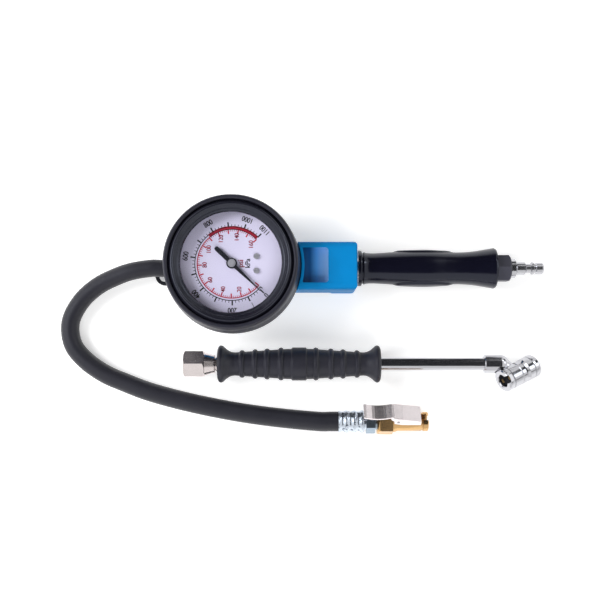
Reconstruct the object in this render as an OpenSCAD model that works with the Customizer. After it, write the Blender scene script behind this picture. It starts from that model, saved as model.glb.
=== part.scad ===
// Tyre inflator with dial gauge, clip-on chuck on a hose, and a spare twin push-on chuck.
// Millimetres. +Z points out of the dial, +X runs along the handle to the air inlet.
// The origin is on the gauge axis, level with the flat back that the tool rests on.

/* [Gauge case] */
// Wall of the rubber boot round the bezel
boot_wall = 3.7; // [2.7:0.1:8.7]
// Depth of the boot, from its back to its front lip
boot_depth = 30; // [29:0.5:36]
// Thickness of the boot's floor
boot_floor = 1.2; // [1:0.1:2]
// Radius of the steel gauge case
case_r = 40; // [39:0.5:40.5]
// Sheet thickness of the gauge case
case_wall = 1.4; // [1:0.1:2]
// Radius of the window opening in the bezel
window_r = 32.5; // [30:0.5:34]
// Thickness of the window lens
lens_t = 2; // [1.5:0.1:2.5]
// Space between the dial and the lens
dial_gap = 6.2; // [5.5:0.1:7]

/* [Gauge movement] */
// Radius of the Bourdon tube's centre line
bourdon_r = 29; // [28:0.25:30]
// Tooth count of the pinion
pinion_teeth = 10; // [10:1:12]
// Tooth count of the whole circle that the sector is cut from
sector_teeth = 120; // [110:1:124]
// Module of both gears
gear_module = 0.3; // [0.28:0.01:0.31]
// Angle of the sector's pivot, seen from the pointer axis
sector_angle = -45; // [-48:1:-42]
// Length of the pointer's needle from the hub
needle_l = 25.5; // [22:0.5:29]
// Length of the pointer's tail from the hub
tail_l = 15; // [12:0.5:18]
// Direction of the pointer at zero
zero_angle = -44; // [-50:1:-40]

/* [Housing] */
// Height of the handle's axis above the back
axis_z = 14.5; // [14.2:0.1:16]
// Space between the back of the tool and the gauge boot
gauge_z = 24; // [24:0.2:27]
// Right end of the housing
housing_x1 = 82; // [80:0.5:90]
// Width of the housing beside the gauge
housing_w = 31.4; // [30:0.2:36]
// Front face of the housing beside the gauge
housing_top = 34; // [33.5:0.25:38]
// Left end of the housing, under the gauge
spine_x0 = -24; // [-28:0.5:-23]
// Width of the housing under the gauge
spine_w = 26; // [25:0.5:30]
// Right edge of the thumb scoop
scoop_x1 = 62.8; // [61:0.2:66]
// Width of the thumb scoop
scoop_w = 23.2; // [20:0.2:24]
// Depth of the thumb scoop
scoop_depth = 6.5; // [4:0.25:7]

/* [Trigger and valve] */
// Place of the trigger's pivot along the tool
trigger_x = 24; // [23:0.5:26]
// Length of the trigger lever from its pivot
trigger_l = 40; // [38:0.5:41]
// Width of the trigger lever
trigger_w = 14; // [11:0.5:14.5]
// Thickness of the trigger lever
trigger_t = 2.6; // [2:0.1:2.8]
// Place of the air valve along the tool
valve_x = 54; // [52:0.5:55]
// Radius of the valve stem
stem_r = 1.5; // [1.2:0.1:1.7]

/* [Handle and inlet] */
// Outer radius of the handle tube
tube_r = 7; // [6:0.25:7.5]
// Length of the black grip
grip_l = 92.6; // [85:0.5:110]
// Radius of the grip at its bulge
bulge_r = 12.65; // [11.5:0.05:13.5]
// Radius of the grip at its flared end
flare_r = 13.8; // [13:0.1:14]
// Width across flats of the inlet bushing
bushing_af = 17; // [15:0.5:19]
// Length of the inlet bushing's hexagon
bushing_l = 9.9; // [8:0.1:14]
// Radius of the air plug's body
plug_r = 4.4; // [4.2:0.05:5]
// Length of the air plug beyond its collar
plug_l = 18.6; // [17:0.1:24]

/* [Hose] */
// Radius of the rubber hose
hose_r = 6.3; // [5:0.1:6.4]
// Length of the crimped ferrule at the gauge end
inner_ferrule_l = 13.7; // [12:0.1:13.7]

/* [Clip-on chuck] */
// Height of the chuck's axis above the back
chuck_z = 9.2; // [9.2:0.1:11]
// Turn of the clip lever round the chuck's axis
chuck_roll = 33; // [20:1:40]
// Length of the chuck's ferrule
ferrule_l = 17; // [14:0.1:18]
// Radius of the chuck's barrel
barrel_r = 6.35; // [6.2:0.05:6.6]
// Length of the chuck's barrel
barrel_l = 20; // [19:0.1:24]
// Radius of the bore that takes a tyre valve
mouth_r = 4.1; // [3.9:0.05:4.3]
// Width of the clip lever
lever_w = 10.4; // [9.6:0.1:12]
// Sheet thickness of the clip lever
lever_t = 1.2; // [0.8:0.1:1.4]

/* [Spare twin chuck] */
// Place of the spare chuck's axis across the tool
ext_y = -64.5; // [-66:0.5:-62]
// Height of the spare chuck's axis
ext_z = 13; // [13:0.1:15]
// Radius of the chrome rod
rod_r = 4.35; // [3.8:0.05:5]
// Visible length of the chrome rod
rod_l = 69.6; // [60:0.2:90]
// Length of the ribbed rubber grip
ext_grip_l = 109; // [100:0.5:120]
// Radius of the flanges at the ends of the ribbed grip
flange_r = 12.4; // [11.5:0.1:12.8]
// Radius of the ribbed grip's body near its middle
ext_grip_r = 10.4; // [9.5:0.1:11]
// Radius of the twin head
head_r = 7.9; // [7.5:0.1:8.2]
// Length of the twin head
head_l = 28; // [27:0.2:30]
// Turn of the twin head in plan
head_turn = 25; // [20:1:30]
// Tilt of the twin head, left end up
head_tilt = 22; // [10:1:22]

/* [Hidden] */
$fn = 64;

// Clearances shared by every fit
fit = 0.1;          // parts that are assembled and stay put
run = 0.05;         // radial clearance of a shaft that turns or slides
eps = 0.01;         // overlap that makes a cut pass through a face

// Gauge heights, from the back of the boot
case_h0 = boot_floor;
floor_h = case_h0 + case_wall;
bezel_t = 5.2;
lens_h = boot_depth - bezel_t - lens_t;
gasket_t = 0.8;
rim_h = lens_h - gasket_t;
dial_t = 0.6;
dial_h = lens_h - dial_gap - dial_t;
bezel_wall = 1.2;
bezel_r = case_r + bezel_wall;
skirt_l = 7;
lip_r = case_r + 0.4;
boot_r = bezel_r + fit + boot_wall;
lip_t = 2.8;

// Movement
pinion_pr = pinion_teeth * gear_module / 2;
sector_pr = sector_teeth * gear_module / 2;
gear_centres = pinion_pr + sector_pr;
sector_p = gear_centres * polar(sector_angle);
arbor_r = 0.75;
sector_arbor_r = 0.9;
plate_t = 1.2;
back_plate_h = floor_h + 2;
front_plate_h = back_plate_h + 7.4;
sector_h = back_plate_h + 2.4;
sector_t = 1.2;
link_h = sector_h + sector_t + 0.3;
link_t = 0.8;
hairspring_h = link_h + link_t + 0.5;
plate_x = [-11, 20.4];
plate_y = [-20, 10];
pillars = [[-8.5, 7.5], [-8.5, -17.5], [17.6, 8.2]];
pillar_r = 1.6;
dial_screw_x = 15.9;
dial_screw_y = 4.7;
tail_arm = 6;
tail_angle = 190;
tail_p = sector_p + tail_arm * polar(tail_angle);
joint_pin_r = 0.6;
tube_start = 11;
tube_end = 295;
tip_pin_angle = 293.8;
tip_reach = 6.3;
tip_p = (bourdon_r - tip_reach) * polar(tip_pin_angle);
pointer_h = dial_h + dial_t + 1.8;
pointer_t = 0.6;
hub_r = 3.5;
cap_r = 2.6;

// Gauge stem and socket
socket_x = 20;
socket_r = 5;
ledge_w = 14;
ledge_l = 13;
post_l = 11.4;
post_h = 10.6;
stem_bottom = axis_z + 4.5;

// Valve block, which lies between the two housing shells
split_z = axis_z;
block_w = 14;
block_z0 = axis_z - 5.5;
block_h = 11;
block_x0 = spine_x0 + 2;
block_x1 = housing_x1 - 2.8;
outlet_boss_r = 8;
tube_boss_r = tube_r + 2;
tube_boss_l = 13;
gauge_boss_r = 8;
valve_boss_r = 6.5;
valve_top = axis_z + 8;
chamber_r = 4.6;
seat_z = axis_z - 1.9;
seal_t = 0.7;
poppet_r = 3.8;
poppet_t = 1.5;
cap_plug_l = 2.6;
cap_head_t = 2.5;
outlet_thread_r = 5;
outlet_thread_l = 10;
passage_r = 2.5;
under_boot = 0.3;
spine_top = gauge_z - under_boot;
housing_tuck = 9;
housing_x0 = boot_r - housing_tuck;
boot_gap = 0.4;
corner_r = 2.6;
screws_xy = [[spine_x0 + 6, spine_w / 2 - 2.6], [housing_x1 - 8, housing_w / 2 - 3.4]];
screw_r = 1.5;
screw_head_r = 2.7;
screw_head_t = 1.8;
screw_recess = 1;
screw_top = axis_z + 5.5;

// Trigger
trigger_z = 4.2;
trigger_pin_r = 1.25;
knuckle_r = 2.8;
lever_top = trigger_z - 0.8;
pocket_roof = block_z0 - 0.5;
pocket_x1 = trigger_x + trigger_l + 1.6;
side_gap = 0.5;
finger_z = 5;
stem_gap = 0.2;

// Handle, grip and inlet
tube_x0 = block_x1 - 11;
grip_x0 = housing_x1 + 1.4;
grip_x1 = grip_x0 + grip_l;
tube_x1 = grip_x1 + 0.4;
bushing_x1 = grip_x1 + bushing_l;
collar_l = 4;
plug_bore = 2.5;

// Hanging eye beside the hose's fitting
eye_y = -4;
eye_c = -48.5;
eye_r = 6.5;
eye_hole_r = 4;
eye_z = 2.6;
eye_t = 2.4;
eye_arm_w = 7;

// Hose: hand-chosen route of its centre line
outlet_hex_l = 6.7;
outlet_hex_af = 17;
outlet_hex_x0 = spine_x0 - 0.3 - outlet_hex_l;
inner_ferrule_r = 7.9;
chuck_x = 70;
chuck_y = -103;
hose_route = [[-45, 0, 14.5], [-51, 0, 14.5], [-57, 0, 14.5], [-70, -2, 13.5], [-82, -6, 11.5],
    [-94, -12, 9.5], [-105, -22, 8], [-112, -36, 7], [-110, -51, 7], [-101, -62, 7], [-88, -71, 7],
    [-74, -77, 7], [-58, -83, 7], [-36, -89, 7], [-13, -94, 7], [10, -98, 7], [34, -101, 7.6],
    [57, chuck_y, chuck_z], [64, chuck_y, chuck_z], [chuck_x, chuck_y, chuck_z]];
hose_sides = 10;
hose_steps = 3;

// Chuck stations along X
nut_x = chuck_x + ferrule_l + 1.5;
nut_l = 6;
nut_af = 14;
hex_x = nut_x + nut_l + 1.2;
hex_l = 10.6;
hex_ac_r = 9.05;
hex_turn = 14;
taper_x = hex_x + hex_l;
barrel_x = taper_x + 3.8;
mouth_x = barrel_x + barrel_l;
mouth_l = 12;
lever_x0 = nut_x - 2.2;
pivot_x = taper_x + 3.2;
pivot_h = barrel_r + 1.6;
lug_w = 6.4;
lug_r = 2.1;
chuck_pin_r = 1;
jaw_x = mouth_x - 7.6;
jaw_w = 3.6;
jaw_gap = 0.2;
bend_x = pivot_x - 4.6;
step_h = pivot_h + 4.2;
spring_seat_h = 7;
spring_x = pivot_x - 8.4;
spring_l = saddle_h(spring_x - 2) - lever_t - spring_seat_h - 0.1;
seat_l = 2.2;
depressor_x = 3.6;
depressor_room = 6.2;

// Spare chuck stations along X
ext_x0 = -33.6;
ext_nut_af = 17;
ext_nut_r = ext_nut_af / sqrt(3) + 0.1;
ext_nut_l = 14;
ext_cone_l = 6.6;
ext_stem_l = 2.1;
ext_grip_x = ext_x0 + ext_nut_l + ext_cone_l + ext_stem_l;
ext_grip_x1 = ext_grip_x + ext_grip_l;
rod_x1 = ext_grip_x1 + rod_l;
neck_r = 6.2;
neck_l = 11;
head_c = [rod_x1 + 23, ext_y - 6.1, ext_z];
cap_l = 5;
head_bores = [4.35, 4.2];   // right and left mouth
seal_x = head_l / 2 - 7.5;
head_seal_t = 1.5;
seal_pocket = 0.3;
shuttle_r = 1.5;

// ---------- shared shapes ----------

// Turns a shape drawn along +Z so that it runs along +X at the height of the handle's axis
module on_axis(x = 0) translate([x, 0, axis_z]) rotate([0, 90, 0]) children();

// Unit vector in plan at an angle
function polar(a) = [cos(a), sin(a)];

// Rounded rectangle from corner a to corner b
module rrect(a, b, r) {
    translate([a.x + r, a.y]) square([b.x - a.x - 2 * r, b.y - a.y]);
    translate([a.x, a.y + r]) square([b.x - a.x, b.y - a.y - 2 * r]);
    for (x = [a.x + r, b.x - r], y = [a.y + r, b.y - r]) translate([x, y]) circle(r, $fn = 32);
}

// Extrusion along Y of an outline drawn in X and Z, centred on Y = 0
module across(w) rotate([90, 0, 0]) translate([0, 0, -w / 2]) linear_extrude(w) children();

// Cylinder along Y, centred on Y = 0
module across_pin(r, l) rotate([90, 0, 0]) translate([0, 0, -l / 2]) cylinder(r = r, h = l);

// Hexagonal prism by width across flats
module hex_prism(af, h) cylinder(r = af / sqrt(3), h = h, $fn = 6);

// Washer or tube
module ring(r_out, r_in, h) difference() {
    cylinder(r = r_out, h = h);
    translate([0, 0, -1]) cylinder(r = r_in, h = h + 2);
}

// Points of a closed tube swept along a list of centre points
function unit(v) = v / norm(v);
function tangent(p, i) = unit(p[min(i + 1, len(p) - 1)] - p[max(i - 1, 0)]);
function side_of(t) = unit(abs(t.z) < 0.9 ? cross([0, 0, 1], t) : cross([1, 0, 0], t));
function tube_points(p, r, n) = [for (i = [0:len(p) - 1]) let (t = tangent(p, i), u = side_of(t),
    v = cross(t, u)) for (k = [0:n - 1]) p[i] + r * (cos(360 * k / n) * u + sin(360 * k / n) * v)];
function tube_faces(m, n) = concat(
    [for (i = [0:m - 2], k = [0:n - 1]) let (a = i * n + k, b = i * n + (k + 1) % n)
        each [[a, a + n, b], [b, a + n, b + n]]],
    [for (k = [1:n - 2]) [0, k, k + 1]],
    [for (k = [1:n - 2]) let (e = (m - 1) * n) [e, e + k + 1, e + k]]);
module swept_tube(p, r, n) polyhedron(tube_points(p, r, n), tube_faces(len(p), n), convexity = 6);

// Compression spring along +Z, with its end turns one wire apart
module coil_spring(r, wire_r, turns, h) {
    steps = round(8 * turns);
    swept_tube([for (i = [0:steps]) let (a = 360 * turns * i / steps)
        [r * cos(a), r * sin(a), wire_r + (h - 2 * wire_r) * i / steps]], wire_r, 6);
    echo(least_gap = (h - 2 * wire_r) / turns - 2 * wire_r);
}

// Catmull-Rom curve through a route, for the hose
function curve_point(a, b, c, d, t) = 0.5 * (2 * b + (c - a) * t + (2 * a - 5 * b + 4 * c - d) * t * t
    + (3 * b - a - 3 * c + d) * t * t * t);
function curve(p, n) = concat([for (i = [0:len(p) - 2], j = [0:n - 1])
    curve_point(p[max(i - 1, 0)], p[i], p[i + 1], p[min(i + 2, len(p) - 1)], j / n)],
    [p[len(p) - 1]]);

// ---------- gauge case ----------

module gauge_frame() translate([0, 0, gauge_z]) children();

// Rubber boot: a cup with ring grooves round its wall and a lip over the bezel
module gauge_boot() color([0.12, 0.12, 0.13]) gauge_frame() difference() {
    inner = bezel_r + fit;
    under_lip = boot_depth - lip_t;
    rotate_extrude() difference() {
        polygon([[0, 0], [boot_r - 4, 0], [boot_r - 1.4, 2.2], [boot_r, 5.5], [boot_r, boot_depth - 5],
            [boot_r - 0.5, boot_depth - 2.4], [boot_r - 1.3, boot_depth - 0.7],
            [boot_r - 2.2, boot_depth], [lip_r + 0.6, boot_depth], [lip_r, boot_depth - 0.6],
            [lip_r, under_lip], [inner, under_lip], [inner, boot_floor], [0, boot_floor]]);
        for (h = [8.5:3.6:boot_depth - 8]) translate([boot_r - 0.6, h]) square([1, 0.9]);
    }
    translate([socket_x, 0, -1]) cylinder(r = gauge_boss_r + 1, h = boot_floor + 2);
}

// Steel case: a flanged pan with a hole for the stem
module gauge_case() color([0.15, 0.15, 0.16]) gauge_frame() difference() {
    translate([0, 0, case_h0]) cylinder(r = case_r, h = rim_h - case_h0);
    translate([0, 0, floor_h]) cylinder(r = case_r - case_wall, h = rim_h);
    translate([socket_x, 0, 0]) cylinder(r = socket_r + 0.6, h = floor_h + 1);
}

// Bezel: skirt over the case and a rolled ring that holds the lens down
module bezel_ring() color([0.1, 0.1, 0.11]) gauge_frame() rotate_extrude() polygon([
    [window_r, lens_h + lens_t], [case_r + fit, lens_h + lens_t],
    [case_r + fit, rim_h - skirt_l + 2.8], [bezel_r, rim_h - skirt_l + 2.8],
    [bezel_r, boot_depth - lip_t - 0.7], [case_r + 0.3, boot_depth - lip_t - 0.1],
    [case_r - 0.4, boot_depth - 2.4], [case_r - 1, boot_depth - 1],
    [case_r - 1.7, boot_depth - 0.3], [case_r - 2.5, boot_depth], [case_r - 3.3, boot_depth - 0.3],
    [case_r - 4.2, boot_depth - 1.4], [case_r - 5, boot_depth - 2.1], [window_r + 1.6, boot_depth - 2.5],
    [window_r + 0.7, boot_depth - 3.4], [window_r, boot_depth - 4.6]]);

module window_gasket() color([0.2, 0.2, 0.2]) gauge_frame()
    translate([0, 0, rim_h]) ring(case_r - fit, case_r - case_wall - 1.4, gasket_t);

module window_lens() color([0.8, 0.9, 1, 0.3]) gauge_frame()
    translate([0, 0, lens_h]) cylinder(r = case_r - fit, h = lens_t);

// ---------- dial and pointer ----------

module dial_screw_places() for (s = [-1, 1]) translate([dial_screw_x, s * dial_screw_y, 0]) children();

module dial_plate() color([0.93, 0.92, 0.97]) gauge_frame() difference() {
    translate([0, 0, dial_h]) cylinder(r = case_r - case_wall - 1, h = dial_t);
    translate([0, 0, dial_h - 1]) cylinder(r = arbor_r + 1, h = dial_t + 2);
    dial_screw_places() translate([0, 0, dial_h - 1]) cylinder(r = 1 + fit, h = dial_t + 2);
}

module dial_screws() color("silver") gauge_frame() dial_screw_places() {
    translate([0, 0, dial_h - 2]) cylinder(r = 1, h = dial_t + 2);
    difference() {
        translate([0, 0, dial_h + dial_t]) cylinder(r = 1.9, h = 1);
        translate([-2.5, -0.25, dial_h + dial_t + 0.6]) cube([5, 0.5, 1]);
    }
}

// Pointer: round-ended tail, hub and tapering needle, stamped in one sheet
module pointer() color([0.08, 0.08, 0.08]) gauge_frame() translate([0, 0, pointer_h]) difference() {
    union() {
        rotate([0, 0, zero_angle]) linear_extrude(pointer_t) {
            circle(hub_r);
            translate([-tail_l + 1.5, 0]) circle(1.5);
            polygon([[-tail_l + 1.5, -1.5], [0, -1.35], [needle_l, -0.2], [needle_l, 0.2], [0, 1.35],
                [-tail_l + 1.5, 1.5]]);
        }
        translate([0, 0, -0.8]) cylinder(r = 1.8, h = 0.8 + eps);
    }
    translate([0, 0, -2]) cylinder(r = arbor_r + eps, h = 4);
}

module pointer_cap() color("silver") gauge_frame() translate([0, 0, pointer_h + pointer_t])
    difference() {
        union() {
            cylinder(r = cap_r, h = 0.7);
            cylinder(r = cap_r - 0.8, h = 1.1);
        }
        translate([0, 0, -eps]) cylinder(r = arbor_r + eps, h = 0.6);
    }

// ---------- movement ----------

// Bourdon tube: an open C of flattened tube, closed at its tip by a lug with the link's pin
module bourdon_tube() color([0.78, 0.62, 0.3]) gauge_frame() {
    half_t = 1.6;
    h0 = floor_h + 2.4;
    h1 = h0 + 8;
    rotate([0, 0, tube_start]) rotate_extrude(angle = tube_end - tube_start) difference() {
        rrect([bourdon_r - half_t, h0], [bourdon_r + half_t, h1], 1.5);
        rrect([bourdon_r - half_t + 0.5, h0 + 0.5], [bourdon_r + half_t - 0.5, h1 - 0.5], 1);
    }
    rotate([0, 0, tip_pin_angle]) translate([bourdon_r - tip_reach - 1.4, -1.6, sector_h])
        cube([tip_reach + 1.4 + half_t, 3.2, sector_t]);
    rotate([0, 0, tube_end]) translate([bourdon_r - half_t, -1.2, h0])
        cube([2 * half_t, 1.6, h1 - h0]);
    translate([tip_p.x, tip_p.y, sector_h]) cylinder(r = joint_pin_r, h = sector_t + 2.2);
}

// Brass socket: ledge for the movement, post for the tube, threaded stem through the back
module tube_socket() color([0.75, 0.6, 0.3]) gauge_frame() difference() {
    union() {
        translate([socket_x + 1 - ledge_l, -ledge_w / 2, floor_h])
            cube([ledge_l, ledge_w, back_plate_h - floor_h]);
        translate([plate_x[1] + 0.4, -ledge_w / 2, floor_h]) cube([post_l, ledge_w, post_h]);
        translate([socket_x, 0, stem_bottom - gauge_z])
            cylinder(r = socket_r, h = floor_h - stem_bottom + gauge_z + 1);
    }
    translate([socket_x, 0, stem_bottom - gauge_z - 1])
        cylinder(r = 1.5, h = floor_h + gauge_z - stem_bottom + 2);
    translate([socket_x, 0, floor_h + 1]) cube([2 * (bourdon_r - socket_x), 2, 2], center = true);
    movement_screw_places() translate([0, 0, floor_h - 1]) cylinder(r = 0.7, h = 4);
}

module movement_screw_places() for (y = [-5, 5]) translate([dial_screw_x - 5, y, 0]) children();

module plate_shape(h) translate([0, 0, h]) difference() {
    linear_extrude(plate_t) rrect([plate_x[0], plate_y[0]], [plate_x[1], plate_y[1]], 2);
    translate([0, 0, -1]) cylinder(r = arbor_r + run, h = plate_t + 2);
    translate([sector_p.x, sector_p.y, -1]) cylinder(r = sector_arbor_r + run, h = plate_t + 2);
}

// Back plate with its pillars and the hairspring's stud
module movement_back() color([0.8, 0.65, 0.35]) gauge_frame() {
    difference() {
        plate_shape(back_plate_h);
        movement_screw_places() translate([0, 0, back_plate_h - 1]) cylinder(r = 0.9, h = plate_t + 2);
    }
    for (p = pillars) translate([p.x, p.y, back_plate_h])
        cylinder(r = pillar_r, h = front_plate_h - back_plate_h);
    translate([-8.4, 0, back_plate_h]) cylinder(r = 0.7, h = hairspring_h + 0.8 - back_plate_h);
}

// Front plate with the two posts that carry the dial
module movement_front() color([0.8, 0.65, 0.35]) gauge_frame() difference() {
    union() {
        plate_shape(front_plate_h);
        dial_screw_places() translate([0, 0, front_plate_h]) cylinder(r = 2, h = dial_h - front_plate_h);
    }
    dial_screw_places() translate([0, 0, dial_h - 2.2]) cylinder(r = 1 + eps, h = 3);
}

module movement_screws() color("silver") gauge_frame() {
    movement_screw_places() translate([0, 0, floor_h + 0.2])
        cylinder(r = 0.7 - eps, h = back_plate_h + plate_t - floor_h - 0.2);
    movement_screw_places() translate([0, 0, back_plate_h + plate_t]) cylinder(r = 1.3, h = 0.7);
    for (p = pillars) translate([p.x, p.y, front_plate_h + plate_t]) cylinder(r = 1.5, h = 0.8);
}

// One gear tooth, drawn as a trapezoid with a rounded tip, standing on the root circle
module tooth(pr, h) linear_extrude(h) {
    pitch = PI * gear_module;
    root = pr - 1.1 * gear_module;
    tip = pr + 0.7 * gear_module;
    polygon([[root - 0.1, -0.24 * pitch], [pr, -0.17 * pitch], [tip, -0.08 * pitch],
        [tip, 0.08 * pitch], [pr, 0.17 * pitch], [root - 0.1, 0.24 * pitch]]);
}

// Sector gear: hub and arbor, skeleton arms, toothed arc and the tail that the link pulls
module sector_gear() color([0.75, 0.58, 0.28]) gauge_frame() {
    step = 360 / sector_teeth;
    toward = sector_angle + 180;
    first = -10;
    last = 2;
    root = sector_pr - 1.1 * gear_module;
    translate([sector_p.x, sector_p.y, 0]) {
        translate([0, 0, sector_h]) linear_extrude(sector_t) {
            difference() {
                intersection() {
                    circle(root);
                    polygon([[0, 0], for (k = [first - 0.5, (first + last) / 2, last + 0.5])
                        (root + 2) * polar(toward + k * step)]);
                }
                polygon([for (k = [first + 1.6, last - 1.6]) 6 * polar(toward + k * step),
                    for (k = [last - 0.8, first + 0.8]) (root - 2.4) * polar(toward + k * step)]);
            }
            circle(2.2);
            rotate(tail_angle) translate([0, -1.1]) square([tail_arm, 2.2]);
            rotate(tail_angle) translate([tail_arm, 0]) circle(1.3);
        }
        for (k = [first:last]) translate([0, 0, sector_h]) rotate([0, 0, toward + k * step])
            tooth(sector_pr, sector_t);
        translate([0, 0, back_plate_h])
            cylinder(r = sector_arbor_r, h = front_plate_h + plate_t - back_plate_h);
        rotate([0, 0, tail_angle]) translate([tail_arm, 0, sector_h])
            cylinder(r = joint_pin_r, h = sector_t + 1.4);
    }
}

// Pinion on the arbor that carries the pointer, with the hairspring's collet
module pinion() color([0.7, 0.7, 0.7]) gauge_frame() {
    h0 = sector_h - 0.6;
    t = sector_t + 1.2;
    translate([0, 0, h0]) cylinder(r = pinion_pr - 1.1 * gear_module, h = t);
    for (k = [0:pinion_teeth - 1]) translate([0, 0, h0])
        rotate([0, 0, sector_angle + (k + 0.5) * 360 / pinion_teeth]) tooth(pinion_pr, t);
    translate([0, 0, back_plate_h]) cylinder(r = arbor_r, h = pointer_h + pointer_t + 0.4 - back_plate_h);
    translate([0, 0, hairspring_h - 0.2]) cylinder(r = 1.7, h = 1);
}

// Hairspring: a flat spiral that ends at its stud
module hairspring() color([0.6, 0.5, 0.3]) gauge_frame() translate([0, 0, hairspring_h]) {
    turns = 4.5;
    steps = 90;
    r0 = 2.1;
    r1 = 7.5;
    w = 0.15;
    echo(hairspring_gap = (r1 - r0) / turns - 2 * w);
    linear_extrude(0.6) polygon([
        for (i = [0:steps]) (r0 + (r1 - r0) * i / steps + w) * polar(360 * turns * i / steps),
        for (i = [steps:-1:0]) (r0 + (r1 - r0) * i / steps - w) * polar(360 * turns * i / steps)]);
}

// Link: an eye on the sector's tail and a slot on the tube's tip pin
module link() color([0.7, 0.55, 0.3]) gauge_frame() translate([0, 0, link_h]) linear_extrude(link_t)
    difference() {
        union() {
            translate(tail_p) circle(1.4);
            translate([tail_p.x - 1.1, tail_p.y - 3]) square([2.4, 3]);
            translate([tip_p.x - 2.6, tip_p.y - 1.5]) square([4, 5]);
        }
        translate(tail_p) circle(joint_pin_r + run);
        translate([tip_p.x - 1.75, tip_p.y - 0.85]) square([2.6, 3.8]);
    }

// ---------- housing ----------

// Outer shape of the valve block, grown by g
module block_shape(g) {
    translate([block_x0 - g, -block_w / 2 - g, block_z0 - g])
        cube([block_x1 - block_x0 + 2 * g, block_w + 2 * g, block_h + 2 * g]);
    on_axis(block_x0 - g) cylinder(r = outlet_boss_r + g, h = outlet_thread_l + 2 + 2 * g);
    on_axis(block_x1 - tube_boss_l - g) cylinder(r = tube_boss_r + g, h = tube_boss_l + 2 * g);
    translate([valve_x, 0, axis_z]) cylinder(r = valve_boss_r + g, h = valve_top - axis_z + g);
}

module valve_block() color([0.72, 0.72, 0.74]) difference() {
    union() {
        block_shape(0);
        translate([socket_x, 0, axis_z]) cylinder(r = gauge_boss_r, h = gauge_z - 0.4 - axis_z);
    }
    on_axis(tube_x0) cylinder(r = tube_r + eps, h = 20);
    on_axis(block_x0 - 1) cylinder(r = outlet_thread_r + eps, h = outlet_thread_l + 1);
    on_axis(block_x0) cylinder(r = passage_r, h = socket_x - block_x0);
    translate([socket_x, 0, stem_bottom - 0.3]) cylinder(r = socket_r + eps, h = 20);
    translate([socket_x, 0, axis_z - 3.5]) cylinder(r = 1.5, h = 10);
    translate([socket_x, 0, axis_z - 3]) rotate([0, 90, 0]) cylinder(r = 1.2, h = valve_x - socket_x);
    translate([valve_x, 0, axis_z - 4.3]) cylinder(r = stem_r + 1.1, h = 4);
    translate([valve_x, 0, block_z0 - 1]) cylinder(r = stem_r + run, h = 4);
    translate([valve_x, 0, seat_z]) cylinder(r = chamber_r, h = 20);
    translate([valve_x, 0, axis_z + 1.5]) rotate([0, 90, 0])
        cylinder(r = passage_r, h = tube_x0 - valve_x + 1);
}

// Plan of the whole housing
module housing_plan() {
    rrect([spine_x0, -spine_w / 2], [housing_x0 + 6, spine_w / 2], corner_r);
    rrect([housing_x0, -housing_w / 2], [housing_x1, housing_w / 2], corner_r);
}

module housing_screw_places() for (p = screws_xy, s = [-1, 1])
    translate([p.x, s * p.y, 0]) children();

// Front shell: low under the gauge, raised beside it, with the thumb scoop
module housing_front() color([0.04, 0.5, 0.78]) difference() {
    union() {
        translate([0, 0, split_z]) linear_extrude(spine_top - split_z) housing_plan();
        intersection() {
            translate([0, 0, split_z]) linear_extrude(housing_top - split_z)
                rrect([housing_x0, -housing_w / 2], [housing_x1, housing_w / 2], corner_r);
            rotate([90, 0, 90]) linear_extrude(200) polygon([[-50, 0], [50, 0], [50, split_z],
                [housing_w / 2, housing_top - 2.6], [housing_w / 2 - 1, housing_top - 1.1],
                [housing_w / 2 - 3.4, housing_top], [-housing_w / 2 + 3.4, housing_top],
                [-housing_w / 2 + 1, housing_top - 1.1], [-housing_w / 2, housing_top - 2.6],
                [-50, split_z]]);
            across(100) rrect([housing_x0 - 10, -10], [housing_x1, housing_top], 1.2);
        }
    }
    translate([0, 0, spine_top]) cylinder(r = boot_r + boot_gap, h = 30, $fn = 96);
    block_shape(fit);
    translate([socket_x, 0, split_z - 1]) cylinder(r = gauge_boss_r + fit, h = 20);
    translate([valve_x, 0, valve_top - 1]) cylinder(r = valve_boss_r + 0.4, h = cap_head_t + 1.4);
    on_axis(housing_x1 - 10) cylinder(r = tube_r + fit, h = 20);
    on_axis(spine_x0 - 1) cylinder(r = outlet_thread_r + fit, h = 10);
    housing_screw_places() translate([0, 0, split_z - 1])
        cylinder(r = screw_r + eps, h = screw_top - split_z + 1.2);
    thumb_scoop();
}

// Scoop cut: its left side runs round the boot, its floor is part of a cylinder
module thumb_scoop() {
    floor_r = 14;
    intersection() {
        difference() {
            translate([0, 0, housing_top - scoop_depth - 1]) linear_extrude(scoop_depth + 5)
                rrect([boot_r, -scoop_w / 2], [scoop_x1, scoop_w / 2], 2);
            cylinder(r = boot_r + 2.2, h = 60, $fn = 96);
        }
        translate([(boot_r + scoop_x1) / 2 + 1, 0, housing_top - scoop_depth + floor_r])
            across_pin(floor_r, 100);
    }
}

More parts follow.
